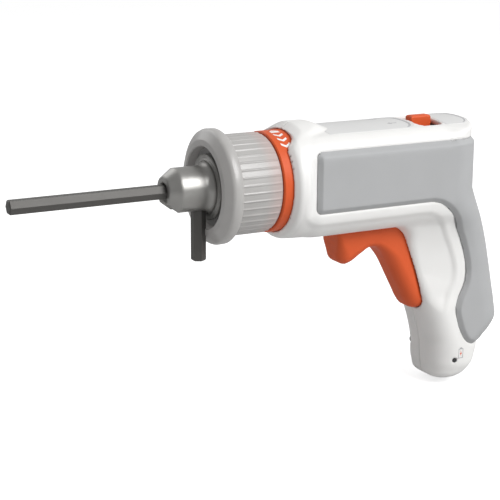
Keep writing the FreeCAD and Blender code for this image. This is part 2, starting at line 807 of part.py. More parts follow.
def case_screws():
    head_x = DRUM_X - FLANGE_T
    shank = bar(NECK_FLANGE_X, NECK_FLANGE_X - head_x, CASE_SCREW_R, 0, CASE_SCREW_CIRCLE_R)
    head = bar(head_x, CASE_SCREW_HEAD, CASE_SCREW_HEAD_R, 0, CASE_SCREW_CIRCLE_R)
    return turned_copies(shank.fuse(head), CASE_SCREWS)


def motor_can():
    """Drawn steel can with a bearing boss at its front."""
    can = bar(MOTOR_X, MOTOR_LENGTH, MOTOR_R).fuse(bar(MOTOR_X + MOTOR_BOSS, MOTOR_BOSS + LOOSE, MOTOR_BOSS_R))
    can = can.cut(bar(MOTOR_X - MOTOR_WALL, MOTOR_LENGTH, MOTOR_R - MOTOR_WALL))
    return can.cut(bar(MOTOR_X + MOTOR_BOSS + OVERRUN, MOTOR_LENGTH, SHAFT_R + RUN_FIT))


def motor_end_cap():
    return collar_of(MOTOR_CAP_X, MOTOR_CAP, MOTOR_CAP_R, SHAFT_R + RUN_FIT)


def motor_magnets():
    """Two arc magnets stuck inside the can."""
    outer = MOTOR_R - MOTOR_WALL - PRESS_FIT
    front = MOTOR_X - ROTOR_FRONT_ROOM + (MAGNET_LENGTH - ROTOR_LENGTH) / 2
    shell = collar_of(front, MAGNET_LENGTH, outer, outer - MAGNET_T)
    magnets = []
    for centre in (0, FULL_TURN / 2):
        corners = [V(front, 0, 0)]
        for angle in (-MAGNET_HALF_ANGLE, 0, MAGNET_HALF_ANGLE):
            corners.append(around(centre + angle, 3 * outer, front))
        wedge = Part.Face(Part.makePolygon(corners + corners[:1])).extrude(V(-MAGNET_LENGTH, 0, 0))
        magnets.append(shell.common(wedge))
    return magnets


def motor_terminals():
    """Two solder tabs behind the motor's end cap."""
    tabs = []
    for side in (-1, 1):
        z = side * TERMINAL_Z
        tabs.append(block(
            MOTOR_REAR_X - TERMINAL_LENGTH, MOTOR_REAR_X,
            -TERMINAL_W / 2, TERMINAL_W / 2, z - TERMINAL_T / 2, z + TERMINAL_T / 2,
        ))
    return tabs


def motor_shaft():
    front = PLANET_ONE_X
    return bar(front, front - MOTOR_REAR_X + SHAFT_TAIL, SHAFT_R)


def pinion():
    """Sun of the first stage, pressed on the motor's shaft."""
    wheel = spur(SUN_TEETH, PLANET_ONE_X, GEAR_W, 0)
    return wheel.cut(bar(PLANET_ONE_X + OVERRUN, GEAR_W + 2 * OVERRUN, SHAFT_R + PRESS_FIT))


def rotor():
    """Wound armature, slotted between its poles."""
    front = MOTOR_X - ROTOR_FRONT_ROOM
    core = collar_of(front, ROTOR_LENGTH, ROTOR_R, SHAFT_R + PRESS_FIT)
    slot = block(
        front - ROTOR_LENGTH - OVERRUN, front + OVERRUN,
        -ROTOR_SLOT_W / 2, ROTOR_SLOT_W / 2, ROTOR_R - ROTOR_SLOT_DEPTH, ROTOR_R + OVERRUN,
    )
    return core.cut(turned_copies(slot, ROTOR_POLES))


def commutator():
    front = MOTOR_X - ROTOR_FRONT_ROOM - ROTOR_LENGTH - LOOSE
    return collar_of(front, COMMUTATOR_LENGTH, COMMUTATOR_R, SHAFT_R + PRESS_FIT)


def barrel_section(x, half, top, bottom):
    """Closed outline of the barrel across the drive axis: arched top, round lower corners."""
    limit = min(half, bottom) * BARREL_ROUND_SHARE
    low_r = min(BARREL_BOTTOM_R, limit)
    top_r = min(BARREL_TOP_R + top - BARREL_TOP, limit)
    rise = top - BARREL_SIDE_TOP
    reach = half - top_r
    arch_r = (rise ** 2 + reach ** 2 - top_r ** 2) / (2 * (rise - top_r))
    turn = math.asin(reach / (arch_r - top_r))
    middle = (turn + math.pi / 2) / 2
    low_bend = low_r * (1 - math.sqrt(0.5))
    runs = []
    for side in (1, -1):
        crown_end = V(x, side * arch_r * math.sin(turn), top - arch_r * (1 - math.cos(turn)))
        shoulder = V(x, side * (reach + top_r * math.sin(middle)), BARREL_SIDE_TOP + top_r * math.cos(middle))
        side_top = V(x, side * half, BARREL_SIDE_TOP)
        low_out = V(x, side * half, low_r - bottom)
        low_mid = V(x, side * (half - low_bend), low_bend - bottom)
        low_in = V(x, side * (half - low_r), -bottom)
        edges = [arc(crown_end, shoulder, side_top), through(side_top, low_out), arc(low_out, low_mid, low_in)]
        runs.append((crown_end, edges, low_in))
    left, right = runs
    under = through(left[2], right[2])
    over = arc(right[0], V(x, 0, top), left[0])
    return Part.Wire(left[1] + [under] + list(reversed(right[1])) + [over])


def barrel(grow):
    """Barrel of the housing, with its rear end rounded, grown or shrunk by a thickness."""
    start_x = FACE_X - FRONT_RING
    straight_x = BARREL_REAR_X + BARREL_REAR_R
    half = BARREL_HALF + grow
    top = BARREL_TOP + grow
    bottom = BARREL_BOTTOM + grow
    front = Part.Face(barrel_section(start_x, half, top, bottom)).extrude(V(straight_x - start_x, 0, 0))
    sections = []
    for angle in REAR_ANGLES:
        bend = 1 - math.cos(math.radians(angle))
        inset = BARREL_REAR_R * bend
        drop = BARREL_REAR_TOP_R * bend
        x = straight_x - (BARREL_REAR_R + grow) * math.sin(math.radians(angle))
        sections.append(barrel_section(x, half - inset, top - drop, bottom - drop))
    return front.fuse(Part.makeLoft(sections, True, False))


def handle_section(z, front, back, half):
    """Closed outline of the handle at one level."""
    room = (front - back) * HANDLE_ROUND_SHARE
    front_r = min(half * HANDLE_FRONT_R_SHARE, room)
    back_r = min(half * HANDLE_BACK_R_SHARE, room)
    diagonal = 1 - math.sqrt(0.5)
    edges = []
    for side in (1, -1):
        nose_in = V(front, side * (half - front_r), z)
        nose_mid = V(front - front_r * diagonal, side * (half - front_r * diagonal), z)
        nose_out = V(front - front_r, side * half, z)
        tail_out = V(back + back_r, side * half, z)
        tail_mid = V(back + back_r * diagonal, side * (half - back_r * diagonal), z)
        tail_in = V(back, side * (half - back_r), z)
        run = [arc(nose_in, nose_mid, nose_out), through(nose_out, tail_out), arc(tail_out, tail_mid, tail_in)]
        edges.append((nose_in, run, tail_in))
    left = edges[0]
    right = edges[1]
    behind = through(left[2], right[2])
    ahead = through(right[0], left[0])
    return Part.Wire(left[1] + [behind] + list(reversed(right[1])) + [ahead])


def handle(grow):
    """Handle of the housing, lofted from the barrel down to its foot."""
    drop = HANDLE_DROP + grow
    sections = []
    for level, front, back, half in HANDLE_SHARES:
        sections.append(handle_section(
            -level * drop,
            BARREL_REAR_X + front * HANDLE_DEPTH + grow,
            BARREL_REAR_X + back * HANDLE_DEPTH - grow,
            half * BARREL_HALF + grow,
        ))
    return Part.makeLoft(sections, True, False)


def front_ring():
    """Round front end of the housing, round the indicator ring."""
    rear = FACE_X - FRONT_RING
    diagonal = 1 - math.sqrt(0.5)
    rim = arc(
        V(FACE_X, 0, FRONT_R - FRONT_EDGE),
        V(FACE_X - FRONT_EDGE * diagonal, 0, FRONT_R - FRONT_EDGE * diagonal),
        V(FACE_X - FRONT_EDGE, 0, FRONT_R),
    )
    low = min(BARREL_TOP, BARREL_HALF) - FRONT_EDGE
    end = rear - FRONT_TAPER
    outline = [
        through(V(FACE_X, 0, 0), V(FACE_X, 0, FRONT_R - FRONT_EDGE)),
        rim,
        through(V(FACE_X - FRONT_EDGE, 0, FRONT_R), V(rear, 0, FRONT_R)),
        through(V(rear, 0, FRONT_R), V(end, 0, low)),
        through(V(end, 0, low), V(end, 0, 0)),
        through(V(end, 0, 0), V(FACE_X, 0, 0)),
    ]
    return Part.Face(Part.Wire(outline)).revolve(ORIGIN, X_AXIS, FULL_TURN)


def grip_place(shares):
    return BARREL_REAR_X + shares[0] * HANDLE_DEPTH, -shares[1] * HANDLE_DROP


def grip_region():
    """Everything inside the grips' outline in the side view, right across the tool."""
    y = -2 * BARREL_HALF
    front_x = FACE_X - GRIP_FRONT
    rear_x = BARREL_REAR_X - HANDLE_DEPTH
    r = GRIP_CORNER_R
    diagonal = 1 - math.sqrt(0.5)
    edge = [V(x, y, z) for x, z in map(grip_place, GRIP_EDGE_SHARES)]
    top_rear = V(rear_x, y, GRIP_TOP)
    low_rear = V(rear_x, y, edge[-1].z)
    low = edge[0].z
    outline = [
        through(top_rear, V(front_x - r, y, GRIP_TOP)),
        arc(
            V(front_x - r, y, GRIP_TOP),
            V(front_x - r * diagonal, y, GRIP_TOP - r * diagonal),
            V(front_x, y, GRIP_TOP - r),
        ),
        through(V(front_x, y, GRIP_TOP - r), V(front_x, y, low + r)),
        arc(
            V(front_x, y, low + r),
            V(front_x - r * diagonal, y, low + r * diagonal),
            V(front_x - r, y, low),
        ),
        through(V(front_x - r, y, low), edge[0]),
        spline(edge),
        through(edge[-1], low_rear),
        through(low_rear, top_rear),
    ]
    return Part.Face(Part.Wire(outline)).extrude(V(0, 4 * BARREL_HALF, 0))


def half_space(side):
    """Everything on one side of the parting plane."""
    size = 3 * (BODY_LENGTH + HANDLE_DROP)
    low = 0 if side > 0 else -size
    return block(BARREL_REAR_X - size, BARREL_REAR_X + size, low, low + size, -size, size)


def body_of(grow):
    return barrel(grow).fuse(handle(grow))


def grips():
    """Both soft grips before they are split."""
    skin = body_of(GRIP_PROUD).cut(body_of(-GRIP_SUNK))
    return skin.common(grip_region())


def trigger_place(shares):
    return FACE_X - TRIGGER_X - shares[0] * TRIGGER_LENGTH, -BARREL_BOTTOM - shares[1] * TRIGGER_DROP


def trigger_outline(y, inset, room):
    """Side outline of the trigger, its pressed face set up and back, its toe grown by a room."""
    shift = inset * math.sqrt(0.5)
    face_points = [V(x - shift, y, z + shift) for x, z in map(trigger_place, TRIGGER_FACE_SHARES)]
    back_points = [V(x, y, z) for x, z in map(trigger_place, TRIGGER_BACK_SHARES)]
    back_points[0] += V(-room, 0, -room)
    back_points[1] += V(-room, 0, 0)
    corners = [face_points[-1]] + back_points + [face_points[0]]
    edges = [spline(face_points)]
    for start, end in zip(corners, corners[1:]):
        edges.append(through(start, end))
    return Part.Wire(edges)


def trigger_bar():
    """Trigger's bar with the pressed face rounded towards both sides."""
    flat = TRIGGER_HALF - TRIGGER_EDGE
    rounds = []
    for angle in TRIGGER_ROUND_ANGLES:
        bend = math.radians(angle)
        rounds.append((flat + TRIGGER_EDGE * math.sin(bend), TRIGGER_EDGE * (1 - math.cos(bend))))
    sections = [trigger_outline(-y, inset, 0) for y, inset in reversed(rounds)]
    sections += [trigger_outline(y, inset, 0) for y, inset in rounds]
    return Part.makeLoft(sections, True, True)


def trigger():
    """Rocking trigger: finger nub in front, blade behind, lug on the pin."""
    body = trigger_bar()
    lug = cross_bar(PIVOT_X, PIVOT_Z, TRIGGER_LUG_R, -TRIGGER_LUG_HALF, TRIGGER_LUG_HALF)
    foot = block(
        PIVOT_X - TRIGGER_LUG_R, PIVOT_X + TRIGGER_LUG_R,
        -TRIGGER_LUG_HALF, TRIGGER_LUG_HALF, -BARREL_BOTTOM, PIVOT_Z,
    )
    room = cross_bar(PIVOT_X, PIVOT_Z, PIN_SEAT_R + LOOSE, -TRIGGER_HALF - OVERRUN, -TRIGGER_LUG_HALF)
    room = room.fuse(cross_bar(PIVOT_X, PIVOT_Z, PIN_SEAT_R + LOOSE, TRIGGER_LUG_HALF, TRIGGER_HALF + OVERRUN))
    body = body.cut(room).fuse([lug, foot])
    hole = cross_bar(PIVOT_X, PIVOT_Z, TRIGGER_PIN_R + RUN_FIT / 2, -TRIGGER_HALF, TRIGGER_HALF)
    return body.cut(hole).removeSplitter()


def trigger_room():
    """Space that the trigger needs in the shells over its whole pull."""
    half = TRIGGER_HALF + LOOSE
    room = 2 * LOOSE
    rest = Part.Face(trigger_outline(-half, -room, room)).extrude(V(0, 2 * half, 0))
    shapes = []
    for share in TRIGGER_ROOM_SHARES:
        turn = rest.copy()
        turn.rotate(V(PIVOT_X, 0, PIVOT_Z), Y_AXIS, share * TRIGGER_PULL)
        shapes.append(turn)
    sweep = shapes[0].fuse(shapes[1:])
    lift = FACE_X - TRIGGER_X
    upper = block(
        lift - TRIGGER_LENGTH * TRIGGER_WELL_SHARES[0], lift + LOOSE, -half, half,
        -BARREL_BOTTOM - TRIGGER_DROP * TRIGGER_WELL_SHARES[1], PIVOT_Z + TRIGGER_LUG_R + LOOSE,
    )
    return sweep.fuse(upper)


def trigger_pin():
    end = TRIGGER_HALF + LOOSE + WALL
    return cross_bar(PIVOT_X, PIVOT_Z, TRIGGER_PIN_R, -end, end)


def trigger_spring():
    """Coil on the pin beside the trigger's lug."""
    start = TRIGGER_LUG_HALF + LOOSE
    coil = cross_bar(PIVOT_X, PIVOT_Z, TRIGGER_SPRING_R, start, start + TRIGGER_SPRING_W)
    return coil.cut(cross_bar(PIVOT_X, PIVOT_Z, TRIGGER_PIN_R + LOOSE, 0, start + TRIGGER_SPRING_W + OVERRUN))


def switch_front_x():
    """Front of the trigger's switch, behind the trigger's back at its level."""
    top = trigger_place(TRIGGER_BACK_SHARES[2])
    low = trigger_place(TRIGGER_BACK_SHARES[1])
    share = (SWITCH_LEVEL + top[1]) / (top[1] - low[1])
    return top[0] + (low[0] - top[0]) * share - PLUNGER_OUT


def trigger_switch():
    front = switch_front_x()
    body = block(
        front - SWITCH_DEPTH, front, -SWITCH_HALF, SWITCH_HALF,
        -SWITCH_LEVEL - SWITCH_HEIGHT / 2, SWITCH_HEIGHT / 2 - SWITCH_LEVEL,
    )
    depth = PLUNGER_IN + PLUNGER_STROKE + LOOSE
    return body.cut(bar(front + OVERRUN, depth + OVERRUN, PLUNGER_R + RUN_FIT, 0, -SWITCH_LEVEL))


def switch_plunger():
    out = PLUNGER_OUT - PLUNGER_CLEAR
    return bar(switch_front_x() + out, out + PLUNGER_IN, PLUNGER_R, 0, -SWITCH_LEVEL)


def leaning(shape):
    """Tip a piece of the battery group to the handle's lean, about the cell's top."""
    shape.rotate(V(cell_x(), 0, -CELL_TOP), Y_AXIS, CELL_LEAN)
    return shape


def cell_x():
    return BARREL_REAR_X + CELL_X


def upright(radius, top, length):
    return Part.makeCylinder(radius, length, V(cell_x(), 0, top - length), Z_AXIS)


def battery_cell():
    can = upright(CELL_R, -CELL_TOP, CELL_LENGTH)
    stud = upright(CELL_STUD_R, CELL_STUD - CELL_TOP, CELL_STUD + CELL_R)
    return leaning(can.fuse(stud))


def battery_contacts():
    """Sprung plates above the cell's stud and below its base."""
    upper = upright(CONTACT_R, CELL_STUD + CONTACT_T - CELL_TOP, CONTACT_T)
    lower = upright(CONTACT_R, -CELL_TOP - CELL_LENGTH, CONTACT_T)
    return [leaning(upper), leaning(lower)]


def board_rear_x():
    return BARREL_REAR_X + BOARD_FRONT - BOARD_LENGTH


def charge_board():
    rear = board_rear_x()
    return block(rear, rear + BOARD_LENGTH, -BOARD_HALF, BOARD_HALF, -BOARD_LEVEL - BOARD_T, -BOARD_LEVEL)


def port_rear_x():
    return board_rear_x() + PORT_INSET - PORT_DEPTH


def port_box(room):
    rear = port_rear_x()
    return block(
        rear, rear + PORT_DEPTH, -PORT_HALF - room, PORT_HALF + room,
        -BOARD_LEVEL - room, PORT_HEIGHT - BOARD_LEVEL + room,
    )


def charge_port():
    """Pressed metal socket, hollow and open to the rear, with its contact tongue."""
    rear = port_rear_x()
    hollow = block(
        rear - OVERRUN, rear + PORT_DEPTH - PORT_SKIN, PORT_SKIN - PORT_HALF, PORT_HALF - PORT_SKIN,
        PORT_SKIN - BOARD_LEVEL, PORT_HEIGHT - PORT_SKIN - BOARD_LEVEL,
    )
    middle = PORT_HEIGHT / 2 - BOARD_LEVEL
    tongue = block(
        rear + PORT_SKIN, rear + PORT_DEPTH - PORT_SKIN / 2, -PORT_HALF / 2, PORT_HALF / 2,
        middle - PORT_SKIN, middle + PORT_SKIN,
    )
    return port_box(0).cut(hollow).fuse(tongue)


def charge_lamp():
    """Light pipe in the left shell, level with the handle's foot."""
    x = BARREL_REAR_X + LAMP_BACK
    return cross_bar(x, -LAMP_LEVEL, LAMP_R, LAMP_IN, BARREL_HALF).common(body_of(0))


def top_plate():
    """Thin arched plate let into the barrel's top."""
    front = FACE_X - PLATE_FRONT
    plate = block(front - PLATE_LENGTH, front, -PLATE_HALF, PLATE_HALF, BARREL_SIDE_TOP, FRONT_R)
    corners = [edge for edge in plate.Edges if edge.BoundBox.ZLength > PLATE_T]
    plate = plate.makeFillet(PLATE_CORNER_R, corners)
    return plate.common(barrel(0).cut(barrel(-PLATE_T)))


def slider_well():
    """Opening across the barrel's top that the direction slider runs in."""
    well = block(
        SLIDER_FRONT_X - SLIDER_LENGTH - WELL_ROOM, SLIDER_FRONT_X + WELL_ROOM,
        -WELL_HALF, WELL_HALF, INNER_TOP - WELL_DEPTH, BARREL_TOP + OVERRUN,
    )
    corners = [edge for edge in well.Edges if edge.BoundBox.ZLength > WELL_DEPTH]
    return well.makeFillet(WELL_CORNER_R, corners)


def direction_slider():
    """Thumb slider at its left stop: knob, shutter under the well and a lug into the switch."""
    side = SLIDER_TRAVEL / 2
    rear = SLIDER_FRONT_X - SLIDER_LENGTH
    top = INNER_TOP - WELL_DEPTH
    low = top - SHUTTER_T
    knob = block(rear, SLIDER_FRONT_X, side - SLIDER_HALF, side + SLIDER_HALF, low, BARREL_TOP + SLIDER_RISE)
    crown = [edge for edge in knob.Edges if edge.BoundBox.ZMin > BARREL_TOP]
    knob = knob.makeFillet(SLIDER_EDGE, crown)
    reach = WELL_HALF + side + SHUTTER_LAP
    ends = WELL_ROOM + SHUTTER_LAP
    shutter = block(rear - ends, SLIDER_FRONT_X + ends, side - reach, side + reach, low, top)
    lug_x = lug_middle()
    lug = block(
        lug_x - LUG_LENGTH / 2, lug_x + LUG_LENGTH / 2, side - LUG_HALF, side + LUG_HALF, low - LUG_DROP, low
    )
    return knob.fuse([shutter, lug]).removeSplitter()


def lug_middle():
    return SLIDER_FRONT_X - SLIDER_LENGTH / 2


def direction_box():
    """Corners of the direction switch: rear x, front x, lower z, upper z."""
    middle = lug_middle()
    top = INNER_TOP - WELL_DEPTH - SHUTTER_T - LOOSE
    return middle - DIRECTION_LENGTH / 2, middle + DIRECTION_LENGTH / 2, top - DIRECTION_HEIGHT, top


def direction_switch():
    rear, front, low, top = direction_box()
    body = block(rear, front, -DIRECTION_HALF, DIRECTION_HALF, low, top)
    lug_x = lug_middle()
    reach = LUG_HALF + SLIDER_TRAVEL / 2 + LOOSE
    slot = block(
        lug_x - LUG_LENGTH / 2 - LOOSE, lug_x + LUG_LENGTH / 2 + LOOSE,
        -reach, reach, top - LUG_DROP - LOOSE, top + OVERRUN,
    )
    return body.cut(slot)


def control_board():
    return block(
        CONTROL_X - BOARD_T, CONTROL_X, -CONTROL_HALF, CONTROL_HALF, -CONTROL_BOTTOM, CONTROL_TOP
    )


def drive_transistor():
    """Power transistor that chops the motor's current, flat on the control board."""
    return block(CONTROL_X, CONTROL_X + CHIP_T, -CHIP_SIZE / 2, CHIP_SIZE / 2, -CHIP_SIZE, 0)


def screw_place(shares):
    return BARREL_REAR_X + shares[0] * BODY_LENGTH, -shares[1] * HANDLE_DROP


def housing_screw(shares):
    x, z = screw_place(shares)
    shank = cross_bar(x, z, SCREW_R, -SCREW_GRIP, SCREW_BITE)
    head = cross_bar(x, z, SCREW_HEAD_R, -SCREW_GRIP - SCREW_HEAD, -SCREW_GRIP)
    return shank.fuse(head)


def outer_body():
    return front_ring().cut(grip_region()).fuse(body_of(0))


def inner_space():
    """Hollow of both shells, with the seats of the front pieces."""
    hollow = body_of(-WALL)
    start = FACE_X - FRONT_RING
    behind = block(
        BARREL_REAR_X - HANDLE_DEPTH, min(start, GROOVE_REAR_X), -FRONT_R, FRONT_R, -2 * HANDLE_DROP, FRONT_R
    )
    hollow = hollow.common(behind)
    seat = bar(FACE_X + OVERRUN, RING_SEAT + OVERRUN, RING_SEAT_R)
    neck_hole = bar(FACE_X, FACE_X - GROOVE_REAR_X, NECK_R + LOOSE)
    groove_front = NECK_FLANGE_X + LOOSE / 2
    groove = bar(groove_front, groove_front - GROOVE_REAR_X + OVERRUN, NECK_FLANGE_R + LOOSE)
    return hollow.fuse([seat, neck_hole, groove, tab_sector(2 * FRONT_R, LOOSE)])


def upright_rib(x):
    """Rib across the barrel at one place along it."""
    return block(x - RIB_T / 2, x + RIB_T / 2, -FRONT_R, FRONT_R, -BARREL_BOTTOM, BARREL_TOP)


def level_rib(z):
    """Rib across the handle at one level."""
    return block(
        BARREL_REAR_X - HANDLE_DEPTH, BARREL_REAR_X + 2 * HANDLE_DEPTH, -FRONT_R, FRONT_R,
        z - RIB_T / 2, z + RIB_T / 2,
    )


def rib_cutters():
    """Room for everything that the ribs hold or leave free."""
    cell = leaning(upright(CELL_R + LOOSE / 2, CELL_R - CELL_TOP, CELL_LENGTH + 2 * CELL_R))
    front = switch_front_x()
    switch = block(
        front - SWITCH_DEPTH - LOOSE / 2, front + PLUNGER_OUT + OVERRUN,
        -SWITCH_HALF - LOOSE / 2, SWITCH_HALF + LOOSE / 2,
        -SWITCH_LEVEL - SWITCH_HEIGHT / 2 - LOOSE / 2, SWITCH_HEIGHT / 2 - SWITCH_LEVEL + LOOSE / 2,
    )
    drum = bar(DRUM_X, DRUM_X - MOTOR_X, DRUM_R + LOOSE / 2)
    motor = bar(MOTOR_X + OVERRUN, MOTOR_LENGTH + MOTOR_CAP + OVERRUN, MOTOR_R + LOOSE / 2)
    return cell.fuse([switch, drum, motor])


def ribs():
    shapes = [upright_rib((PLANET_ONE_X + COVER_X) / 2)]
    for share in MOTOR_RIB_SHARES:
        shapes.append(upright_rib(MOTOR_X - share * MOTOR_LENGTH))
    for share in BATTERY_RIB_SHARES:
        shapes.append(level_rib(-CELL_TOP - share * CELL_LENGTH))
    shapes.append(level_rib(-SWITCH_LEVEL))
    return shapes[0].fuse(shapes[1:])


def contact_seats():
    """Ledges above and below the battery's contacts."""
    x = cell_x()
    upper = CELL_STUD + CONTACT_T - CELL_TOP
    lower = -CELL_TOP - CELL_LENGTH - CONTACT_T
    seats = []
    for low in (upper, lower - RIB_T):
        seat = block(x - CELL_R, x + CELL_R, -BARREL_HALF, BARREL_HALF, low, low + RIB_T)
        seats.append(leaning(seat))
    return seats


def shelves():
    """Ledges under the direction switch and the charging board, and round the control board."""
    rear, front, low, top = direction_box()
    board_rear = board_rear_x()
    board_low = -BOARD_LEVEL - BOARD_T
    shapes = contact_seats()
    for side in (-1, 1):
        low_y, high_y = sorted((side * SHELF_HALF, side * BARREL_HALF))
        shapes.append(block(rear, front, low_y, high_y, low - RIB_T, low))
        shapes.append(block(
            board_rear, board_rear + BOARD_LENGTH, low_y, high_y, board_low - RIB_T, board_low
        ))
        low_y, high_y = sorted((side * (CONTROL_HALF - RIB_T), side * BARREL_HALF))
        shapes.append(block(
            CONTROL_X - BOARD_T - RIB_T, CONTROL_X - BOARD_T, low_y, high_y, -CONTROL_BOTTOM, CONTROL_TOP
        ))
    return shapes[0].fuse(shapes[1:])


def bosses():
    """Screw bosses and the trigger pin's seats, right across the tool."""
    shapes = [cross_bar(x, z, BOSS_R, -BARREL_HALF, BARREL_HALF) for x, z in map(screw_place, SCREW_SHARES)]
    start = TRIGGER_HALF + LOOSE
    for side in (-1, 1):
        low, high = sorted((side * start, side * BARREL_HALF))
        shapes.append(cross_bar(PIVOT_X, PIVOT_Z, PIN_SEAT_R, low, high))
    return shapes[0].fuse(shapes[1:])


def screw_holes():
    shapes = []
    for x, z in map(screw_place, SCREW_SHARES):
        shapes.append(cross_bar(x, z, SCREW_R + RUN_FIT, -SCREW_GRIP - OVERRUN, 0))
        shapes.append(cross_bar(x, z, SCREW_R + PRESS_FIT, 0, SCREW_BITE + LOOSE))
        shapes.append(cross_bar(x, z, SCREW_HEAD_R + LOOSE, -2 * BARREL_HALF, -SCREW_GRIP))
    return shapes[0].fuse(shapes[1:])


def housing(soft):
    """Both shells in one, before they are split along the parting plane."""
    shell = outer_body().cut(soft)
    space = inner_space()
    hollow = shell.cut(space)
    filling = ribs().cut(rib_cutters()).fuse([shelves(), bosses()])
    filling = filling.common(body_of(-WALL / 2)).cut(soft)
    hollow = hollow.fuse(filling)
    end = TRIGGER_HALF + LOOSE + WALL
    pin_hole = cross_bar(PIVOT_X, PIVOT_Z, TRIGGER_PIN_R + PRESS_FIT, -end, end)
    lamp_x = BARREL_REAR_X + LAMP_BACK
    lamp_hole = cross_bar(lamp_x, -LAMP_LEVEL, LAMP_R + PRESS_FIT, 0, 2 * BARREL_HALF)
    control_room = block(
        CONTROL_X - BOARD_T, CONTROL_X + CHIP_T, -CONTROL_HALF - LOOSE, CONTROL_HALF + LOOSE,
        -CONTROL_BOTTOM - LOOSE, CONTROL_TOP + LOOSE,
    )
    port = port_box(PORT_ROOM).fuse(block(
        board_rear_x() - BOARD_LENGTH, board_rear_x(), -PORT_HALF - PORT_ROOM, PORT_HALF + PORT_ROOM,
        -BOARD_LEVEL - PORT_ROOM, PORT_HEIGHT + PORT_ROOM - BOARD_LEVEL,
    ))
    cuts = [trigger_room(), pin_hole, lamp_hole, control_room, port, slider_well(), top_plate(), screw_holes()]
    for piece in cuts:
        hollow = hollow.cut(piece)
    return hollow


def save(name, shape):
    """Write one piece, or a group of like pieces, as a STEP file."""
    if isinstance(shape, list):
        shape = Part.makeCompound(shape)
    shape.exportStep("parts/" + name + ".step")
    print(name, len(shape.Solids), "solids", round(shape.Volume, 1), "mm3", shape.isValid())


os.makedirs("parts", exist_ok=True)

soft = grips()
shells = housing(soft)
holes = screw_holes()
save("left_housing", shells.common(half_space(1)))
save("right_housing", shells.common(half_space(-1)))
save("left_grip", soft.common(half_space(1)))
save("right_grip", soft.common(half_space(-1)).cut(holes))
save("top_plate", top_plate())
save("housing_screws", [housing_screw(shares) for shares in SCREW_SHARES])

save("hex_key", hex_key())
save("chuck_nose", chuck_nose())
save("left_jaw", clamp_jaw(1))
save("right_jaw", clamp_jaw(-1))
save("clamp_sleeve", clamp_sleeve())
save("sleeve_spring", sleeve_spring())
save("thrust_washer", thrust_washer())
save("cross_pin", cross_pin())
save("collar_flange", collar_flange())
save("lock_collar", lock_collar())
save("indicator_ring", indicator_ring())
save("collar_neck", neck())
save("spindle_bush", spindle_bush())
save("spindle_clip", spindle_clip())
save("output_spindle", output_spindle())
save("output_planet_pins", planet_pins(CARRIER_TWO_X))
save("first_carrier", carrier_one())
save("first_planet_pins", planet_pins(CARRIER_ONE_X))
for index in range(PLANETS):
    save("output_planet_" + "abc"[index], planet(PLANET_TWO_X, index))
    save("first_planet_" + "abc"[index], planet(PLANET_ONE_X, index))
save("gear_drum", gear_drum())
save("gearbox_cover", gearbox_cover())
save("gearbox_screws", case_screws())

save("motor_can", motor_can())
save("motor_magnets", motor_magnets())
save("motor_end_cap", motor_end_cap())
save("motor_terminals", motor_terminals())
save("motor_shaft", motor_shaft())
save("motor_pinion", pinion())
save("motor_rotor", rotor())
save("motor_commutator", commutator())

save("trigger", trigger())
save("trigger_pin", trigger_pin())
save("trigger_spring", trigger_spring())
save("trigger_switch", trigger_switch())
save("switch_plunger", switch_plunger())
save("direction_slider", direction_slider())
save("direction_switch", direction_switch())
save("control_board", control_board())
save("drive_transistor", drive_transistor())

save("battery_cell", battery_cell())
save("battery_contacts", battery_contacts())
save("charge_board", charge_board())
save("charge_port", charge_port())
save("charge_lamp", charge_lamp())
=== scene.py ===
import math
import bpy
import numpy as np
from mathutils import Matrix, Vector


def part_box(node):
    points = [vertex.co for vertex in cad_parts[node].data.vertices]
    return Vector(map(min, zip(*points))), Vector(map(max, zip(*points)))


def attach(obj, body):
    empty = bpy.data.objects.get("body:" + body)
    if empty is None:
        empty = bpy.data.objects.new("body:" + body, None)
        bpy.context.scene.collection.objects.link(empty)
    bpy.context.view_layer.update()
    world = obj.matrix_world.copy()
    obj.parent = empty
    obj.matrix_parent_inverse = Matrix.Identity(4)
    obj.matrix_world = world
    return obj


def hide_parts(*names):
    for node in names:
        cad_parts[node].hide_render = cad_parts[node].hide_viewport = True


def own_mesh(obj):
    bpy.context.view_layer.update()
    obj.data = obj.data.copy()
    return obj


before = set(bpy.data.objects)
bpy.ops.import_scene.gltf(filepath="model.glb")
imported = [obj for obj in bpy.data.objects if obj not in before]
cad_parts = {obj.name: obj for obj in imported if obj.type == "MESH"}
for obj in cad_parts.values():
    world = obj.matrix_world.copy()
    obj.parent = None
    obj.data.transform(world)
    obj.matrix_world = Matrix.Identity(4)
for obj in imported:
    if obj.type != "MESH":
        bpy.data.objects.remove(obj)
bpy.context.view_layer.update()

# Housing shells: two halves of satin white plastic, moulded and screwed together along the middle.
# The barrel holds motor and gears and the handle holds the cell; the front ring dips round the
# pointer tab, and a proud rim follows the soft grips. Lengths in this file are millimetres.
MM = 0.001
FACE_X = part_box("left_housing")[1].x / MM
REAR_X = FACE_X - 104.05
WALL = 2.5
CAVITY_X = FACE_X - 14.0
BARREL_HALF = 23.5
BARREL_TOP = 23.4
BARREL_LOW = 26.0
CROWN_R = 80.0
SHOULDER_R = 8.0
LOW_R = 13.0
REAR_R = 16.0
REAR_EDGE_R = 1.4
SHOULDER_FADE_X = REAR_X + 20.0
SHOULDER_FADE = 12.0
HANDLE_DROP = 109.0
FOOT_R = 2.0
FRONT_ROUND = 0.74
BACK_ROUND = 0.86
ROUND_ROOM = 0.47
HANDLE_TO_BARREL = 7.0
SIDE_FILLET = 0.6
FILLET_FROM = 12
FILLET_FULL = 28
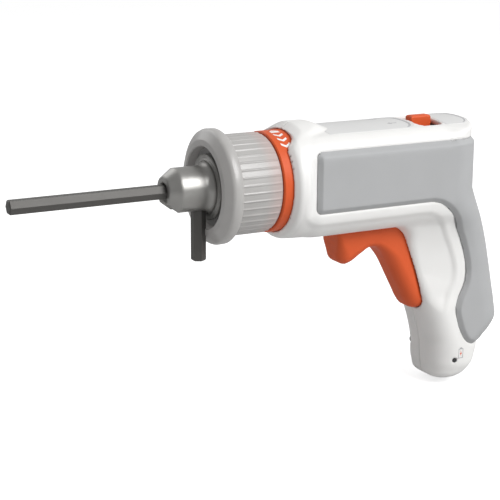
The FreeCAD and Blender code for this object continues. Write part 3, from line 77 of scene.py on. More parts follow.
# Below the drive axis; front, back from the barrel's rear end, and half width
HANDLE_LEVELS = (
    (0.0, 44.6, 1.0, 22.7),
    (13.1, 42.5, -3.6, 22.3),
    (27.2, 37.4, -10.0, 18.2),
    (36.0, 34.5, -13.1, 16.3),
    (49.0, 29.7, -16.3, 15.4),
    (63.2, 25.2, -19.2, 15.5),
    (71.0, 23.0, -20.7, 15.8),
    (79.6, 20.0, -21.0, 16.2),
    (83.4, 18.9, -18.1, 16.5),
    (87.2, 17.9, -13.9, 16.8),
    (94.8, 17.2, -11.4, 16.9),
    (101.9, 16.5, -8.4, 15.9),
    (106.8, 14.4, -2.8, 12.4),
    (109.0, 10.5, 1.5, 8.0),
)
RING_R = 26.9
RING_W = 6.0
RING_TOP_W = 11.5
RING_FALL = 0.055
RING_SEAT_R = 23.5
RING_SEAT = 8.0
RING_FLARE = 0.45
FLARE_R = 3.0
RING_FILLET = 3.5
PANEL_CLEAR = 3.4
PANEL_CLEAR_R = 3.0
RIM_R = 0.9
RIM_LAND = 0.6
RIM_EDGE_R = 0.4
RIM_LEAN = math.radians(48)
TAB_DIP = 6.9
TAB_MIDDLE = -6
TAB_FULL = 28
TAB_END = 54
GRIP_TOP = 16.0
GRIP_FRONT_X = FACE_X - 11.8
GRIP_CORNER_R = 3.0
# Lower edge of the grips, from the barrel round the handle to its back
GRIP_EDGE = (
    (29.0, -13.1),
    (24.2, -14.2),
    (18.2, -18.2),
    (13.4, -23.4),
    (9.9, -29.5),
    (6.1, -36.5),
    (3.2, -44.0),
    (1.8, -51.0),
    (2.6, -58.0),
    (6.2, -65.7),
    (7.4, -71.0),
    (6.2, -77.0),
    (3.6, -84.2),
    (0.9, -88.2),
    (-2.6, -90.0),
    (-12.0, -90.2),
    (-30.0, -90.2),
)
BORDER_W = 4.2
DISH = 1.5
DISH_STEP = 3
DISH_EDGE_R = 1.5
FLAT_SLOPE = 0.16
FLAT_FROM = BORDER_W + 2
FLAT_LIFT = 6
# Levels below the drive axis where the barrel's dish starts, the handle's takes over, and it ends
BARREL_DISH = (4, 14)
HANDLE_DISH = (13, 27)
DISH_ENDS = (62, 84)
# Distances from the grips where the barrel's dish comes up again, and where the grips' bed ends
DISH_RISES = (7.5, 14)
BED_EDGE = (-0.6, 0.2)
GRIP_BED = 0.9
TRIGGER_FRONT_X = FACE_X - 34.5
TRIGGER_HALF = 9.0
TRIGGER_EDGE_R = 2.8
NUB_EDGE_R = 6.0
TOE_EDGE_R = 6.2
NUB_END = 14.0
NUB_FULL = 5.0
NUB_LEVELS = (32.0, 40.0)
TOE_LEVELS = (30.0, 46.0)
TRIGGER_ROOM = 0.4
TRIGGER_PULL = 3.5
TOE_WALL_Z = -58.0
TOE_WALL = 1.4
PIVOT = (FACE_X - 39.0, -21.0)
# Side outline of the trigger behind its front end: the pressed face, then the hidden back
TRIGGER_FACE = (
    (-1.6, -26.0),
    (-1.0, -31.0),
    (-0.5, -37.0),
    (0.7, -41.4),
    (3.5, -43.3),
    (7.3, -42.4),
    (12.5, -38.7),
    (16.6, -36.1),
    (20.0, -36.2),
    (23.6, -38.6),
    (26.4, -42.0),
    (28.9, -46.0),
    (32.8, -53.4),
    (36.6, -60.6),
    (40.0, -66.9),
    (42.2, -69.6),
    (45.0, -70.4),
    (49.6, -69.4),
    (51.4, -65.4),
)
TRIGGER_BACK = ((40.8, -32.4), (36.7, -26.4), (30.6, -23.8), (-1.6, -23.8))
SLIDER_FRONT_X = FACE_X - 74.65
SLIDER_LENGTH = 10.9
WELL_ROOM = 1.15
WELL_HALF = 13.6
WELL_FLOOR = 16.3
WELL_R = 2.0
PORT_Z = -98.55
PORT_HALF = 4.1
PORT_TALL = 3.3
PORT_R = 1.2
PORT_FRONT_X = REAR_X - 2.0
LAMP_X = REAR_X + 7.1
LAMP_Z = -97.0
LAMP_R = 1.15
SCREW_WELL_R = 3.0
SCREW_SEAT = 9.0
BOSS_WALL = 1.4
BOSS_SUNK = 1.0
BOSS_T = 2.0
SCREW_SPOTS = (
    (82.1, -22.5),
    (8.6, 8.0),
    (1.6, -23.0),
    (15.0, -75.0),
    (13.5, -92.0),
    (-14.0, -79.5),
)
SEAM_GAP = 0.06
SEAM_R = 0.35
SHELL_STEP = 0.75


def corner(a, b, radius):
    """Two distances cut by each other, with the outer edge rounded."""
    near_a = a + radius
    near_b = b + radius
    outside = np.hypot(np.maximum(near_a, 0), np.maximum(near_b, 0))
    return np.minimum(np.maximum(near_a, near_b), 0) + outside - radius


def merge(a, b, radius):
    """Two distances joined, with a fillet in the inner corner."""
    overlap = np.maximum(radius - np.abs(a - b), 0) / radius
    return np.minimum(a, b) - overlap ** 2 * radius / 4


def ease(value, start, end):
    """0 up to start, 1 from end on, smooth between."""
    share = np.clip((value - start) / (end - start), 0, 1)
    return share * share * (3 - 2 * share)


def flowing(at, knots, values):
    """Smooth curve through a few values."""
    slopes = np.gradient(values, knots)
    index = np.clip(np.searchsorted(knots, at, side="right") - 1, 0, len(knots) - 2)
    span = knots[index + 1] - knots[index]
    share = np.clip((at - knots[index]) / span, 0, 1)
    start = (1 + 2 * share) * values[index] + share * span * slopes[index]
    end = (3 - 2 * share) * values[index + 1] - (1 - share) * span * slopes[index + 1]
    return (1 - share) ** 2 * start + share ** 2 * end


def curve_through(points, steps):
    """Smooth open line through points of a side view."""
    points = np.array(points)
    along = np.concatenate([[0], np.cumsum(np.hypot(*np.diff(points, axis=0).T))])
    at = np.linspace(0, along[-1], steps)
    return np.stack([flowing(at, along, points[:, 0]), flowing(at, along, points[:, 1])], axis=1)


def outline_distance(x, z, corners):
    """Distance in the side view to a closed outline, negative inside."""
    nearest = np.full(np.broadcast(x, z).shape, np.inf)
    inside = np.zeros(nearest.shape, bool)
    for (ax, az), (bx, bz) in zip(corners, np.roll(corners, -1, axis=0)):
        run = bx - ax
        rise = bz - az
        share = np.clip(((x - ax) * run + (z - az) * rise) / (run ** 2 + rise ** 2), 0, 1)
        nearest = np.minimum(nearest, np.hypot(x - ax - share * run, z - az - share * rise))
        if rise:
            inside ^= ((az > z) != (bz > z)) & (x < ax + run * (z - az) / rise)
    return np.where(inside, -nearest, nearest)


def grip_outline():
    """Side outline of the grips, open to the rear."""
    far = REAR_X - 30.0
    edge = curve_through(GRIP_EDGE, 60) + (REAR_X, 0)
    low = GRIP_EDGE[0][1]
    points = [(far, GRIP_TOP)]
    for bend in np.radians(np.linspace(90, -90, 13)):
        z = GRIP_TOP - GRIP_CORNER_R if bend > 0 else low + GRIP_CORNER_R
        points.append((
            GRIP_FRONT_X - GRIP_CORNER_R * (1 - math.cos(bend)),
            z + GRIP_CORNER_R * math.sin(bend),
        ))
    return np.array(points + edge.tolist())


def trigger_outline(turn):
    """Side outline of the trigger, pulled by an angle."""
    face = curve_through(TRIGGER_FACE, 60)
    points = np.concatenate([face, TRIGGER_BACK]) * (-1, 1) + (TRIGGER_FRONT_X, 0)
    swing = math.radians(turn)
    x = points[:, 0] - PIVOT[0]
    z = points[:, 1] - PIVOT[1]
    pulled_x = x * math.cos(swing) + z * math.sin(swing)
    pulled_z = z * math.cos(swing) - x * math.sin(swing)
    return np.stack([pulled_x + PIVOT[0], pulled_z + PIVOT[1]], axis=1)


GRIP_SIDE = grip_outline()
TRIGGER_SIDE = trigger_outline(0)
TRIGGER_PULLED = trigger_outline(TRIGGER_PULL)


def panel(x, z):
    return outline_distance(x, z, GRIP_SIDE)


def crown(y, z):
    return np.hypot(y, z - BARREL_TOP + CROWN_R) - CROWN_R


def barrel(x, y, z):
    """Arched on top, round at the rear in plan, and flaring out of the front ring."""
    plan = corner(np.abs(y) - BARREL_HALF, REAR_X - x, REAR_R)
    shoulder_r = SHOULDER_R + (REAR_EDGE_R - SHOULDER_R) * ease(SHOULDER_FADE_X - x, 0, SHOULDER_FADE)
    whole = corner(plan, crown(y, z), shoulder_r)
    whole = corner(whole, -BARREL_LOW - z, LOW_R)
    flare = np.hypot(y, z) - RING_R - RING_FLARE * (FACE_X - RING_W - x)
    return np.maximum(corner(whole, flare, FLARE_R), x - FACE_X + RING_W)


def handle_half(z):
    level, front, back, half = np.array(HANDLE_LEVELS).T
    return flowing(np.clip(-z, 0, HANDLE_DROP), level, half)


def handle(x, y, z):
    level, front, back, half = np.array(HANDLE_LEVELS).T
    down = np.clip(-z, 0, HANDLE_DROP)
    half = handle_half(z)
    front = REAR_X + flowing(down, level, front)
    back = REAR_X + flowing(down, level, back)
    room = ROUND_ROOM * (front - back)
    side = corner(np.abs(y) - half, x - front, np.minimum(FRONT_ROUND * half, room))
    side = corner(side, back - x, np.minimum(BACK_ROUND * half, room))
    return corner(side, np.maximum(-z - HANDLE_DROP, z), FOOT_R)


def body(x, y, z):
    fillet = SIDE_FILLET + HANDLE_TO_BARREL * ease(-z, FILLET_FROM, FILLET_FULL)
    return merge(barrel(x, y, z), handle(x, y, z), fillet)


def tab_share(turn):
    """1 across the pointer tab, falling to 0 on both sides of it; turns are in degrees from the top."""
    return 1 - ease(np.abs(turn - TAB_MIDDLE), TAB_FULL, TAB_END)


def front_ring(x, y, z):
    """Round front end, drawn out along the top and dipped round the tab."""
    radius = np.hypot(y, z)
    upward = ease(z / np.maximum(radius, 1.0), 0.78, 0.98)
    dip = TAB_DIP * tab_share(np.degrees(np.arctan2(y, z)))
    behind = np.maximum(FACE_X - RING_W - RING_TOP_W * upward - x, 0)
    front = x - FACE_X + dip
    bevel = (radius - RING_SEAT_R - RIM_LAND) * math.cos(RIM_LEAN) + front * math.sin(RIM_LEAN)
    ring = corner(radius - RING_R + RING_FALL * behind ** 2, bevel, RIM_R)
    ring = corner(ring, front, RIM_EDGE_R)
    return corner(ring, PANEL_CLEAR - panel(x, z), PANEL_CLEAR_R)


def white_skin(x, y, z):
    """Outside of both shells, with the dish between the border of the grips and the trigger."""
    near = panel(x, z)
    below = ease(-z, *HANDLE_DISH)
    step = DISH * ease(near, BORDER_W, BORDER_W + DISH_STEP)
    dish = step * (1 - ease(near, *DISH_RISES)) * ease(-z, *BARREL_DISH) * (1 - below)
    sunk = step + FLAT_SLOPE * np.maximum(near - FLAT_FROM, 0)
    flat = np.abs(y) - handle_half(z) + sunk - FLAT_LIFT * (1 - below * (1 - ease(-z, *DISH_ENDS)))
    bed = GRIP_BED * (1 - ease(near, *BED_EDGE))
    sides = corner(body(x, y, z) + dish, flat, DISH_EDGE_R) + bed
    return merge(sides, front_ring(x, y, z), RING_FILLET)


def trigger_bar(x, y, z, side):
    """Bar of the trigger along a side outline, rounder at its nub and toe."""
    nub = ease(x, TRIGGER_FRONT_X - NUB_END, TRIGGER_FRONT_X - NUB_FULL) * ease(-z, *NUB_LEVELS)
    edge_r = TRIGGER_EDGE_R + (NUB_EDGE_R - TRIGGER_EDGE_R) * nub
    edge_r = edge_r + (TOE_EDGE_R - TRIGGER_EDGE_R) * ease(-z, *TOE_LEVELS) * (1 - nub)
    return corner(outline_distance(x, z, side), np.abs(y) - TRIGGER_HALF, edge_r)


def slider_well(x, y):
    middle = SLIDER_FRONT_X - SLIDER_LENGTH / 2
    half = SLIDER_LENGTH / 2 + WELL_ROOM
    return corner(np.abs(x - middle) - half, np.abs(y) - WELL_HALF, WELL_R)


def shell(x, y, z):
    """Hollow shells with the openings for everything that shows."""
    outside = white_skin(x, y, z)
    inner = np.maximum(outside + WALL, x - CAVITY_X)
    bore = np.maximum(np.hypot(y, z) - RING_SEAT_R, FACE_X - RING_SEAT - x)
    blade = np.minimum(trigger_bar(x, y, z, TRIGGER_SIDE), trigger_bar(x, y, z, TRIGGER_PULLED))
    blade = blade - TRIGGER_ROOM
    inner = np.maximum(inner, np.minimum(TOE_WALL - blade, TOE_WALL_Z - z))
    well = np.maximum(slider_well(x, y), WELL_FLOOR - z)
    port = corner(np.abs(y) - PORT_HALF, np.abs(z - PORT_Z) - PORT_TALL / 2, PORT_R)
    port = np.maximum(port, x - PORT_FRONT_X)
    lamp = np.maximum(np.hypot(x - LAMP_X, z - LAMP_Z) - LAMP_R, -y)
    open_space = inner
    for space in (bore, blade, well, port, lamp):
        open_space = np.minimum(open_space, space)
    return np.maximum(outside, -open_space)


def left_shell(x, y, z):
    return corner(shell(x, y, z), SEAM_GAP - y, SEAM_R)


def right_shell(x, y, z):
    """Right half, with the wells that the six screws go into."""
    whole = shell(x, y, z)
    skin = body(x, y, z)
    for spot_x, spot_z in SCREW_SPOTS:
        reach = np.hypot(x - REAR_X - spot_x, z - spot_z)
        boss = np.maximum(reach - SCREW_WELL_R - BOSS_WALL, skin + BOSS_SUNK)
        boss = np.maximum(boss, y + SCREW_SEAT - BOSS_T)
        hole = np.maximum(reach - SCREW_WELL_R, y + SCREW_SEAT)
        whole = np.maximum(np.minimum(whole, boss), -hole)
    return corner(whole, SEAM_GAP + y, SEAM_R)


LEAST_SLOPE = 0.3


def skin_of(field, low, high, step):
    """Points and quads of the surface where a distance field is zero, settled onto it."""
    axes = [np.arange(a, b + step, step) for a, b in zip(low, high)]
    value = field(axes[0][:, None, None], axes[1][None, :, None], axes[2][None, None, :])
    inside = value < 0
    places = []
    rings = []
    for axis in range(3):
        first = tuple(slice(None, -1) if i == axis else slice(None) for i in range(3))
        second = tuple(slice(1, None) if i == axis else slice(None) for i in range(3))
        edge = np.argwhere(inside[first] != inside[second])
        before = value[first][tuple(edge.T)]
        after = value[second][tuple(edge.T)]
        place = edge.astype(float)
        place[:, axis] += before / (before - after)
        ring = []
        for back_one, back_two in ((0, 0), (1, 0), (1, 1), (0, 1)):
            cell = edge.copy()
            cell[:, (axis + 1) % 3] -= back_one
            cell[:, (axis + 2) % 3] -= back_two
            ring.append(np.ravel_multi_index(cell.T, value.shape))
        ring = np.array(ring).T
        ring[before > 0] = ring[before > 0][:, ::-1]
        places.append(place)
        rings.append(ring)
    quads = np.unique(np.concatenate(rings), return_inverse=True)[1].reshape(-1, 4)
    place = np.repeat(np.concatenate(places), 4, axis=0)
    count = np.bincount(quads.ravel())
    sums = [np.bincount(quads.ravel(), weights=place[:, i]) for i in range(3)]
    points = np.stack(sums, axis=1) / count[:, None] * step + low
    nudge = step / 20
    for _ in range(2):
        here = field(*points.T)
        rises = [field(*(points + nudge * side).T) - here for side in np.eye(3)]
        slope = np.stack(rises, axis=1) / nudge
        move = here / np.maximum((slope ** 2).sum(axis=1), LEAST_SLOPE)
        points -= np.clip(move[:, None] * slope, -step / 2, step / 2)
    return points, quads


def new_piece(name, points, faces, material, body_name, slot, *nodes, crease=None):
    """Mesh piece that rides on a body, stands for CAD nodes and takes a finish. Its slot is not used."""
    mesh = bpy.data.meshes.new(name)
    mesh.from_pydata(np.asarray(points) * MM, [], [list(face) for face in faces])
    mesh.update()
    mesh.shade_smooth()
    if crease:
        mesh.set_sharp_from_angle(angle=math.radians(crease))
    mesh.materials.append(material)
    piece = bpy.data.objects.new(name, mesh)
    bpy.context.scene.collection.objects.link(piece)
    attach(piece, body_name)
    if nodes:
        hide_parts(*nodes)
    return piece


class Wire:
    """One socket in a material's nodes: sums on it add Math nodes, and node() adds any other kind."""

    def __init__(self, tree, socket=None):
        self.tree = tree
        self.socket = socket

    def node(self, kind, output=0, inputs=(), stops=(), **settings):
        made = self.tree.nodes.new("ShaderNode" + kind)
        for name, value in settings.items():
            setattr(made, name, value)
        for index, (place, colour) in enumerate(stops):
            ramp = made.color_ramp.elements
            stop = ramp[index] if index < 2 else ramp.new(place)
            stop.position = place
            stop.color = (*colour, 1)
        for key, value in dict(inputs).items():
            if isinstance(value, Wire):
                self.tree.links.new(value.socket, made.inputs[key])
            else:
                made.inputs[key].default_value = value
        return Wire(self.tree, made.outputs[output])

    def maths(self, operation, first, second=0.0):
        return self.node("Math", inputs={0: first, 1: second}, operation=operation)

    def __add__(self, other):
        return self.maths("ADD", self, other)

    def __radd__(self, other):
        return self.maths("ADD", other, self)

    def __sub__(self, other):
        return self.maths("SUBTRACT", self, other)

    def __rsub__(self, other):
        return self.maths("SUBTRACT", other, self)

    def __mul__(self, other):
        return self.maths("MULTIPLY", self, other)

    def __rmul__(self, other):
        return self.maths("MULTIPLY", other, self)

    def between(self, low, high):
        """0 below low, 1 above high, smooth between."""
        inputs = {"Value": self, "From Min": low, "From Max": high}
        return self.node("MapRange", inputs=inputs, interpolation_type="SMOOTHSTEP")

    def tint(self, dark, light):
        """Colour between two, by this value."""
        inputs = {"Factor": self, 6: (*dark, 1), 7: (*light, 1)}
        return self.node("Mix", output=2, inputs=inputs, data_type="RGBA")

    def bump(self, height, strength, facing=None):
        inputs = {"Height": self, "Distance": height * MM, "Strength": strength}
        if facing:
            inputs["Normal"] = facing
        return self.node("Bump", inputs=inputs)


def new_finish(name, **constants):
    """Material with its shader's constants set; returns it with a wire to build on and the shader."""
    material = bpy.data.materials.new(name)
    material.use_nodes = True
    tree = material.node_tree
    shader = tree.nodes["Principled BSDF"]
    for key, value in constants.items():
        shader.inputs[key.replace("_", " ")].default_value = value
    return material, Wire(tree), shader


def feed(shader, **wires):
    for key, wire in wires.items():
        wire.tree.links.new(wire.socket, shader.inputs[key.replace("_", " ")])


def noise(wire, size, detail=2.0):
    """Cloudy values from 0 to 1 whose lumps have a size in millimetres."""
    place = wire.node("TexCoord", output="Object")
    inputs = {"Vector": place, "Scale": 1 / (size * MM), "Detail": detail}
    return wire.node("TexNoise", inputs=inputs)


def moulded(name, dark, light, rough, grain, depth, **constants):
    """Moulded plastic: faint flow clouds in colour and gloss, and the mould's fine grain."""
    material, wire, shader = new_finish(name, **constants)
    clouds = noise(wire, 14.0)
    pits = noise(wire, grain, 3.0)
    feed(
        shader,
        Base_Color=(0.7 * clouds + 0.3 * pits).tint(dark, light),
        Roughness=rough + 0.10 * (clouds - 0.5) + 0.06 * (pits - 0.5),
        Normal=pits.bump(depth, 0.5),
    )
    return material


white_plastic = moulded("white_plastic", (0.80, 0.795, 0.78), (0.86, 0.855, 0.84), 0.36, 0.35, 0.012)
SHELL_LOW = (REAR_X - 26.0, -1.5, -HANDLE_DROP - 3.0)
SHELL_HIGH = (FACE_X + 2.0, RING_R + 3.0, RING_R + 3.0)
points, quads = skin_of(left_shell, SHELL_LOW, SHELL_HIGH, SHELL_STEP)
new_piece("left_shell", points, quads, white_plastic, "housing", "white_shell", "left_housing")
points, quads = skin_of(
    right_shell,
    (SHELL_LOW[0], -SHELL_HIGH[1], SHELL_LOW[2]),
    (SHELL_HIGH[0], -SHELL_LOW[1], SHELL_HIGH[2]),
    SHELL_STEP,
)
new_piece("right_shell", points, quads, white_plastic, "housing", "white_shell", "right_housing")

# Soft grips: grey rubber moulded onto each shell's side and round the back of the handle.
# They stand proud of the shell with a bevelled edge, and meet along the parting line.
GRIP_PROUD = 1.5
GRIP_SUNK = 0.8
SCREW_ROOM = 0.1
GRIP_STEP = -0.6
GRIP_BEVEL = 1.15
GRIP_BEVEL_T = 3.0
GRIP_EDGE_R = 0.3
GRIP_GAP = 0.05
GRIP_MESH = 0.55


def grip(x, y, z):
    skin = body(x, y, z)
    edge = panel(x, z) + GRIP_GAP + GRIP_BEVEL * np.clip(skin - GRIP_STEP, 0, GRIP_BEVEL_T)
    return np.maximum(corner(skin - GRIP_PROUD, edge, GRIP_EDGE_R), -GRIP_SUNK - skin)


def left_grip(x, y, z):
    return corner(grip(x, y, z), SEAM_GAP - y, SEAM_R)


def right_grip(x, y, z):
    whole = grip(x, y, z)
    for spot_x, spot_z in SCREW_SPOTS:
        whole = np.maximum(whole, SCREW_WELL_R + SCREW_ROOM - np.hypot(x - REAR_X - spot_x, z - spot_z))
    return corner(whole, SEAM_GAP + y, SEAM_R)


soft_rubber = moulded("soft_rubber", (0.385, 0.39, 0.395), (0.43, 0.435, 0.44), 0.62, 0.28, 0.02)
GRIP_LOW = (REAR_X - 26.0, -1.5, GRIP_EDGE[-1][1] - 3.0)
GRIP_HIGH = (GRIP_FRONT_X + 2.0, BARREL_HALF + 3.0, GRIP_TOP + 2.0)
points, quads = skin_of(left_grip, GRIP_LOW, GRIP_HIGH, GRIP_MESH)
new_piece("left_soft_grip", points, quads, soft_rubber, "housing", "soft_grip", "left_grip")
points, quads = skin_of(
    right_grip,
    (GRIP_LOW[0], -GRIP_HIGH[1], GRIP_LOW[2]),
    (GRIP_HIGH[0], -GRIP_LOW[1], GRIP_HIGH[2]),
    GRIP_MESH,
)
new_piece("right_soft_grip", points, quads, soft_rubber, "housing", "soft_grip", "right_grip")

# Trigger: one orange moulding with a finger nub in front and a long blade behind.
# It rocks on a steel pin between the shells; its pressed edges are well rounded.
LUG_R = 3.4
LUG_HALF = 4.5
LUG_FILLET = 1.0
TRIGGER_MESH = 0.55


def trigger(x, y, z):
    bar = trigger_bar(x, y, z, TRIGGER_SIDE)
    lug = np.maximum(np.hypot(x - PIVOT[0], z - PIVOT[1]) - LUG_R, np.abs(y) - LUG_HALF)
    return merge(bar, lug, LUG_FILLET)


orange_plastic = moulded(
    "orange_plastic", (0.66, 0.098, 0.024), (0.74, 0.120, 0.036), 0.46, 0.35, 0.012,
    Specular_IOR_Level=0.25,
)
points, quads = skin_of(
    trigger,
    (TRIGGER_FRONT_X - 54.0, -10.5, -73.0),
    (TRIGGER_FRONT_X + 2.0, 10.5, -16.0),
    TRIGGER_MESH,
)
new_piece("trigger_bar", points, quads, orange_plastic, "trigger_body", "orange_plastic", "trigger")

# Direction slider: one moulding of the trigger's orange plastic, with a knob, a shutter under the
# well that it crosses, and a lug below that moves the direction switch.


def dress(material, *nodes):
    """Gives CAD nodes, which keep their own shape, a finish."""
    for name in nodes:
        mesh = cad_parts[name].data
        mesh.materials.clear()
        mesh.materials.append(material)


dress(orange_plastic, "direction_slider")

# Hex key: one hexagonal bar of tool steel, bent square and blackened.
# Its long leg runs forward out of the nose and its short leg hangs down through the nose's slot.


def metal(name, dark, light, rough, grain, soft=0.15, bare=1.0):
    """Metal: clouds in its tone, fine tool marks, and edges broken by a soft radius."""
    material, wire, shader = new_finish(name, Metallic=bare)
    clouds = noise(wire, 6.0, 3.0)
    marks = noise(wire, grain, 2.0)
    feed(
        shader,
        Base_Color=(0.6 * clouds + 0.4 * marks).tint(dark, light),
        Roughness=rough + 0.16 * (marks - 0.5) + 0.08 * (clouds - 0.5),
        Normal=marks.bump(0.01, 0.4, wire.node("Bevel", inputs={"Radius": soft * MM})),
    )
    return material


dress(
    metal("black_oxide", (0.088, 0.085, 0.08), (0.112, 0.108, 0.102), 0.5, 0.5, soft=0.2, bare=0.35),
    "hex_key",
)

# Nose and jaws: satin steel. The turned nose is slotted for the key, and two jaws in it hold the
# key's left and right corners in their vees; they move apart when the collar is turned.
satin_steel = metal(
    "satin_steel", (0.33, 0.325, 0.31), (0.42, 0.415, 0.40), 0.35, 0.25, soft=1.8, bare=0.75
)
dress(satin_steel, "chuck_nose", "left_jaw", "right_jaw")

# Clamp sleeve: a grey moulding round the nose's stem, in the collar's mouth. A spring pushes it
# forward, where its cone closes the jaws' wedges; turning the collar draws it back.
dress(
    moulded("sleeve_grey", (0.29, 0.286, 0.28), (0.36, 0.355, 0.35), 0.4, 0.4, 0.01),
    "clamp_sleeve",
)

# Spindle, motor shaft, pins, washer, clip and contact plates: bright steel, ground or rolled.
# The cross pin holds the nose on the spindle, and the clip sits in a groove behind the bush.
dress(
    metal("ground_steel", (0.42, 0.42, 0.42), (0.52, 0.52, 0.51), 0.30, 0.3),
    "thrust_washer", "cross_pin", "spindle_clip", "output_spindle", "output_planet_pins",
    "first_planet_pins", "motor_shaft", "trigger_pin", "motor_terminals", "battery_contacts",
)

# Spindle bush: a plain bearing ring of sintered brass that the spindle turns in.
# It is pressed into the rear of the neck that carries the collar.
dress(
    metal("sintered_brass", (0.42, 0.29, 0.12), (0.58, 0.42, 0.2), 0.45, 0.4),
    "spindle_bush",
)

# Gears: two planetary stages of sintered steel with three planets each. The pinion pressed on the
# motor's shaft is the first sun, and the first carrier is in one piece with the second sun.
dress(
    metal("sintered_steel", (0.24, 0.24, 0.24), (0.36, 0.36, 0.36), 0.48, 0.4),
    "first_carrier", "output_planet_a", "output_planet_b", "output_planet_c",
    "first_planet_a", "first_planet_b", "first_planet_c", "motor_pinion",
)

# Gearbox screws: three zinc plated screws, parallel to the drive axis.
# They hold the gear drum's flange to the flange of the neck.
zinc_plate = metal("zinc_plate", (0.34, 0.34, 0.35), (0.46, 0.46, 0.47), 0.38, 0.3)
dress(zinc_plate, "gearbox_screws")

# Motor: a drawn and plated steel can with two ferrite magnets stuck inside it.
# The rotor is wound with copper wire, and its commutator is copper too.
plated_steel = metal("motor_zinc", (0.42, 0.43, 0.44), (0.54, 0.55, 0.56), 0.36, 0.5)
dress(plated_steel, "motor_can")
dress(
    metal("wound_copper", (0.36, 0.13, 0.05), (0.58, 0.24, 0.10), 0.36, 0.3),
    "motor_rotor", "motor_commutator",
)
dress(
    moulded("ferrite", (0.045, 0.045, 0.05), (0.075, 0.075, 0.08), 0.6, 0.5, 0.02),
    "motor_magnets",
)

# Black mouldings: gear drum and cover, collar neck, motor cap, switches and the transistor's case.
# They are plain black plastic and lie inside the shells and the collar.
dress(
    moulded("black_plastic", (0.016, 0.016, 0.017), (0.03, 0.03, 0.031), 0.5, 0.4, 0.015),
    "gear_drum", "gearbox_cover", "collar_neck", "motor_end_cap", "trigger_switch", "switch_plunger",
    "direction_switch", "drive_transistor",
)

# Boards and charging port: green lacquered boards, one upright behind the motor and one flat in
# the foot. The port at the rear of the lower board is a pressed and plated socket.
dress(
    moulded("green_lacquer", (0.015, 0.12, 0.05), (0.03, 0.19, 0.08), 0.3, 0.6, 0.01),
    "control_board", "charge_board",
)
dress(plated_steel, "charge_port")

# Battery cell: one round cell in a blue shrink wrap.
# It leans with the handle, between a sprung plate above it and another below.
dress(
    moulded("blue_wrap", (0.04, 0.09, 0.30), (0.06, 0.14, 0.42), 0.28, 0.8, 0.01),
    "battery_cell",
)

# Charge lamp: a light pipe of smoked plastic, moulded as a plain round bar.
# It sits in a hole in the left shell, low on the handle's foot.
dress(
    moulded("lamp_smoke", (0.03, 0.03, 0.032), (0.06, 0.06, 0.06), 0.2, 0.6, 0.005),
    "charge_lamp",
)

# Pointer ring: one orange moulding held in the housing's front, nearly flush with the collar's ribs.
# The housing dips to show its tab, which carries printed marks.
RING_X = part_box("lock_collar")[0].x / MM - 1.1
POINTER_R = 23.3
POINTER_BORE_R = 20.2
POINTER_EDGE = 0.5
POINTER_BACK = 5.0
POINTER_SEAT = 7.6
TAB_T = 0.6
POINTER_STEPS = 144


def turned(section, steps):
    """Closed ring turned about the drive axis from the (x, radius) points of its section."""
    section = np.array(section)
    count = len(section)
    turn = np.radians(np.arange(steps) * 360 / steps)[:, None]
    x = np.broadcast_to(section[:, 0], (steps, count))
    points = np.stack([x, np.sin(turn) * section[:, 1], np.cos(turn) * section[:, 1]], axis=-1)
    index = np.arange(steps * count).reshape(steps, count)
    beside = np.roll(index, -1, axis=0)
    after = np.roll(index, -1, axis=1)
    quads = np.stack([index, after, np.roll(beside, -1, axis=1), beside], axis=-1)
    return points.reshape(-1, 3), quads.reshape(-1, 4)


points, quads = turned(
    (
        (RING_X, POINTER_BORE_R),
        (RING_X, POINTER_R - POINTER_EDGE),
        (RING_X - POINTER_EDGE, POINTER_R),
        (FACE_X - POINTER_SEAT, POINTER_R),
        (FACE_X - POINTER_SEAT, POINTER_R - TAB_T),
        (FACE_X - POINTER_BACK, POINTER_R - TAB_T),
        (FACE_X - POINTER_BACK, POINTER_BORE_R),
    ),
    POINTER_STEPS,
)
new_piece(
    "pointer_ring", points, quads, orange_plastic, "housing", "orange_plastic", "indicator_ring",
    crease=30,
)

# Pointer marks: a padlock and three chevrons, printed on the tab in white ink.
# They stand for the collar's lock and for turning it.
PRINT_T = 0.05


def printed(name, shapes, surface, material, body_name, slot):
    """Thin print: flat shapes in two coordinates, laid on a surface that gives place by height."""
    points = []
    faces = []
    for shape in shapes:
        count = len(shape)
        first = len(points)
        for height in (-PRINT_T, PRINT_T):
            points.extend(surface(u, v, height) for u, v in shape)
        faces.append([first + count + i for i in range(count)])
        faces.append([first + i for i in reversed(range(count))])
        for i in range(count):
            j = (i + 1) % count
            faces.append([first + i, first + j, first + count + j, first + count + i])
    return new_piece(name, points, faces, material, body_name, slot, crease=30)


def on_pointer(x, turn, height):
    reach = POINTER_R + height
    return (x, reach * math.sin(math.radians(turn)), reach * math.cos(math.radians(turn)))


MARK_X = FACE_X - 1.1
CHEVRON_HALF = 2.3
CHEVRON_STROKE = 3.4
CHEVRON_DEPTH = 5.6
CHEVRON_TURNS = (18.5, 28.0, 37.5)
PADLOCK_TURN = 7.5
PADLOCK_HALF = 2.2
PADLOCK_TALL = 5.5
BOW_R = 1.5
BOW_BORE_R = 0.9
BOW_RISE = 2.2
BOW_STEPS = 8


def chevron(turn):
    """Chevron that points round the ring, as two strokes."""
    tip = turn + CHEVRON_DEPTH / 2
    foot = turn - CHEVRON_DEPTH / 2
    strokes = []
    for side in (-1, 1):
        end = MARK_X + side * CHEVRON_HALF
        stroke = [
            (MARK_X, tip - CHEVRON_STROKE), (end, foot - CHEVRON_STROKE / 2),
            (end, foot + CHEVRON_STROKE / 2), (MARK_X, tip),
        ]
        strokes.append(stroke if side > 0 else stroke[::-1])
    return strokes


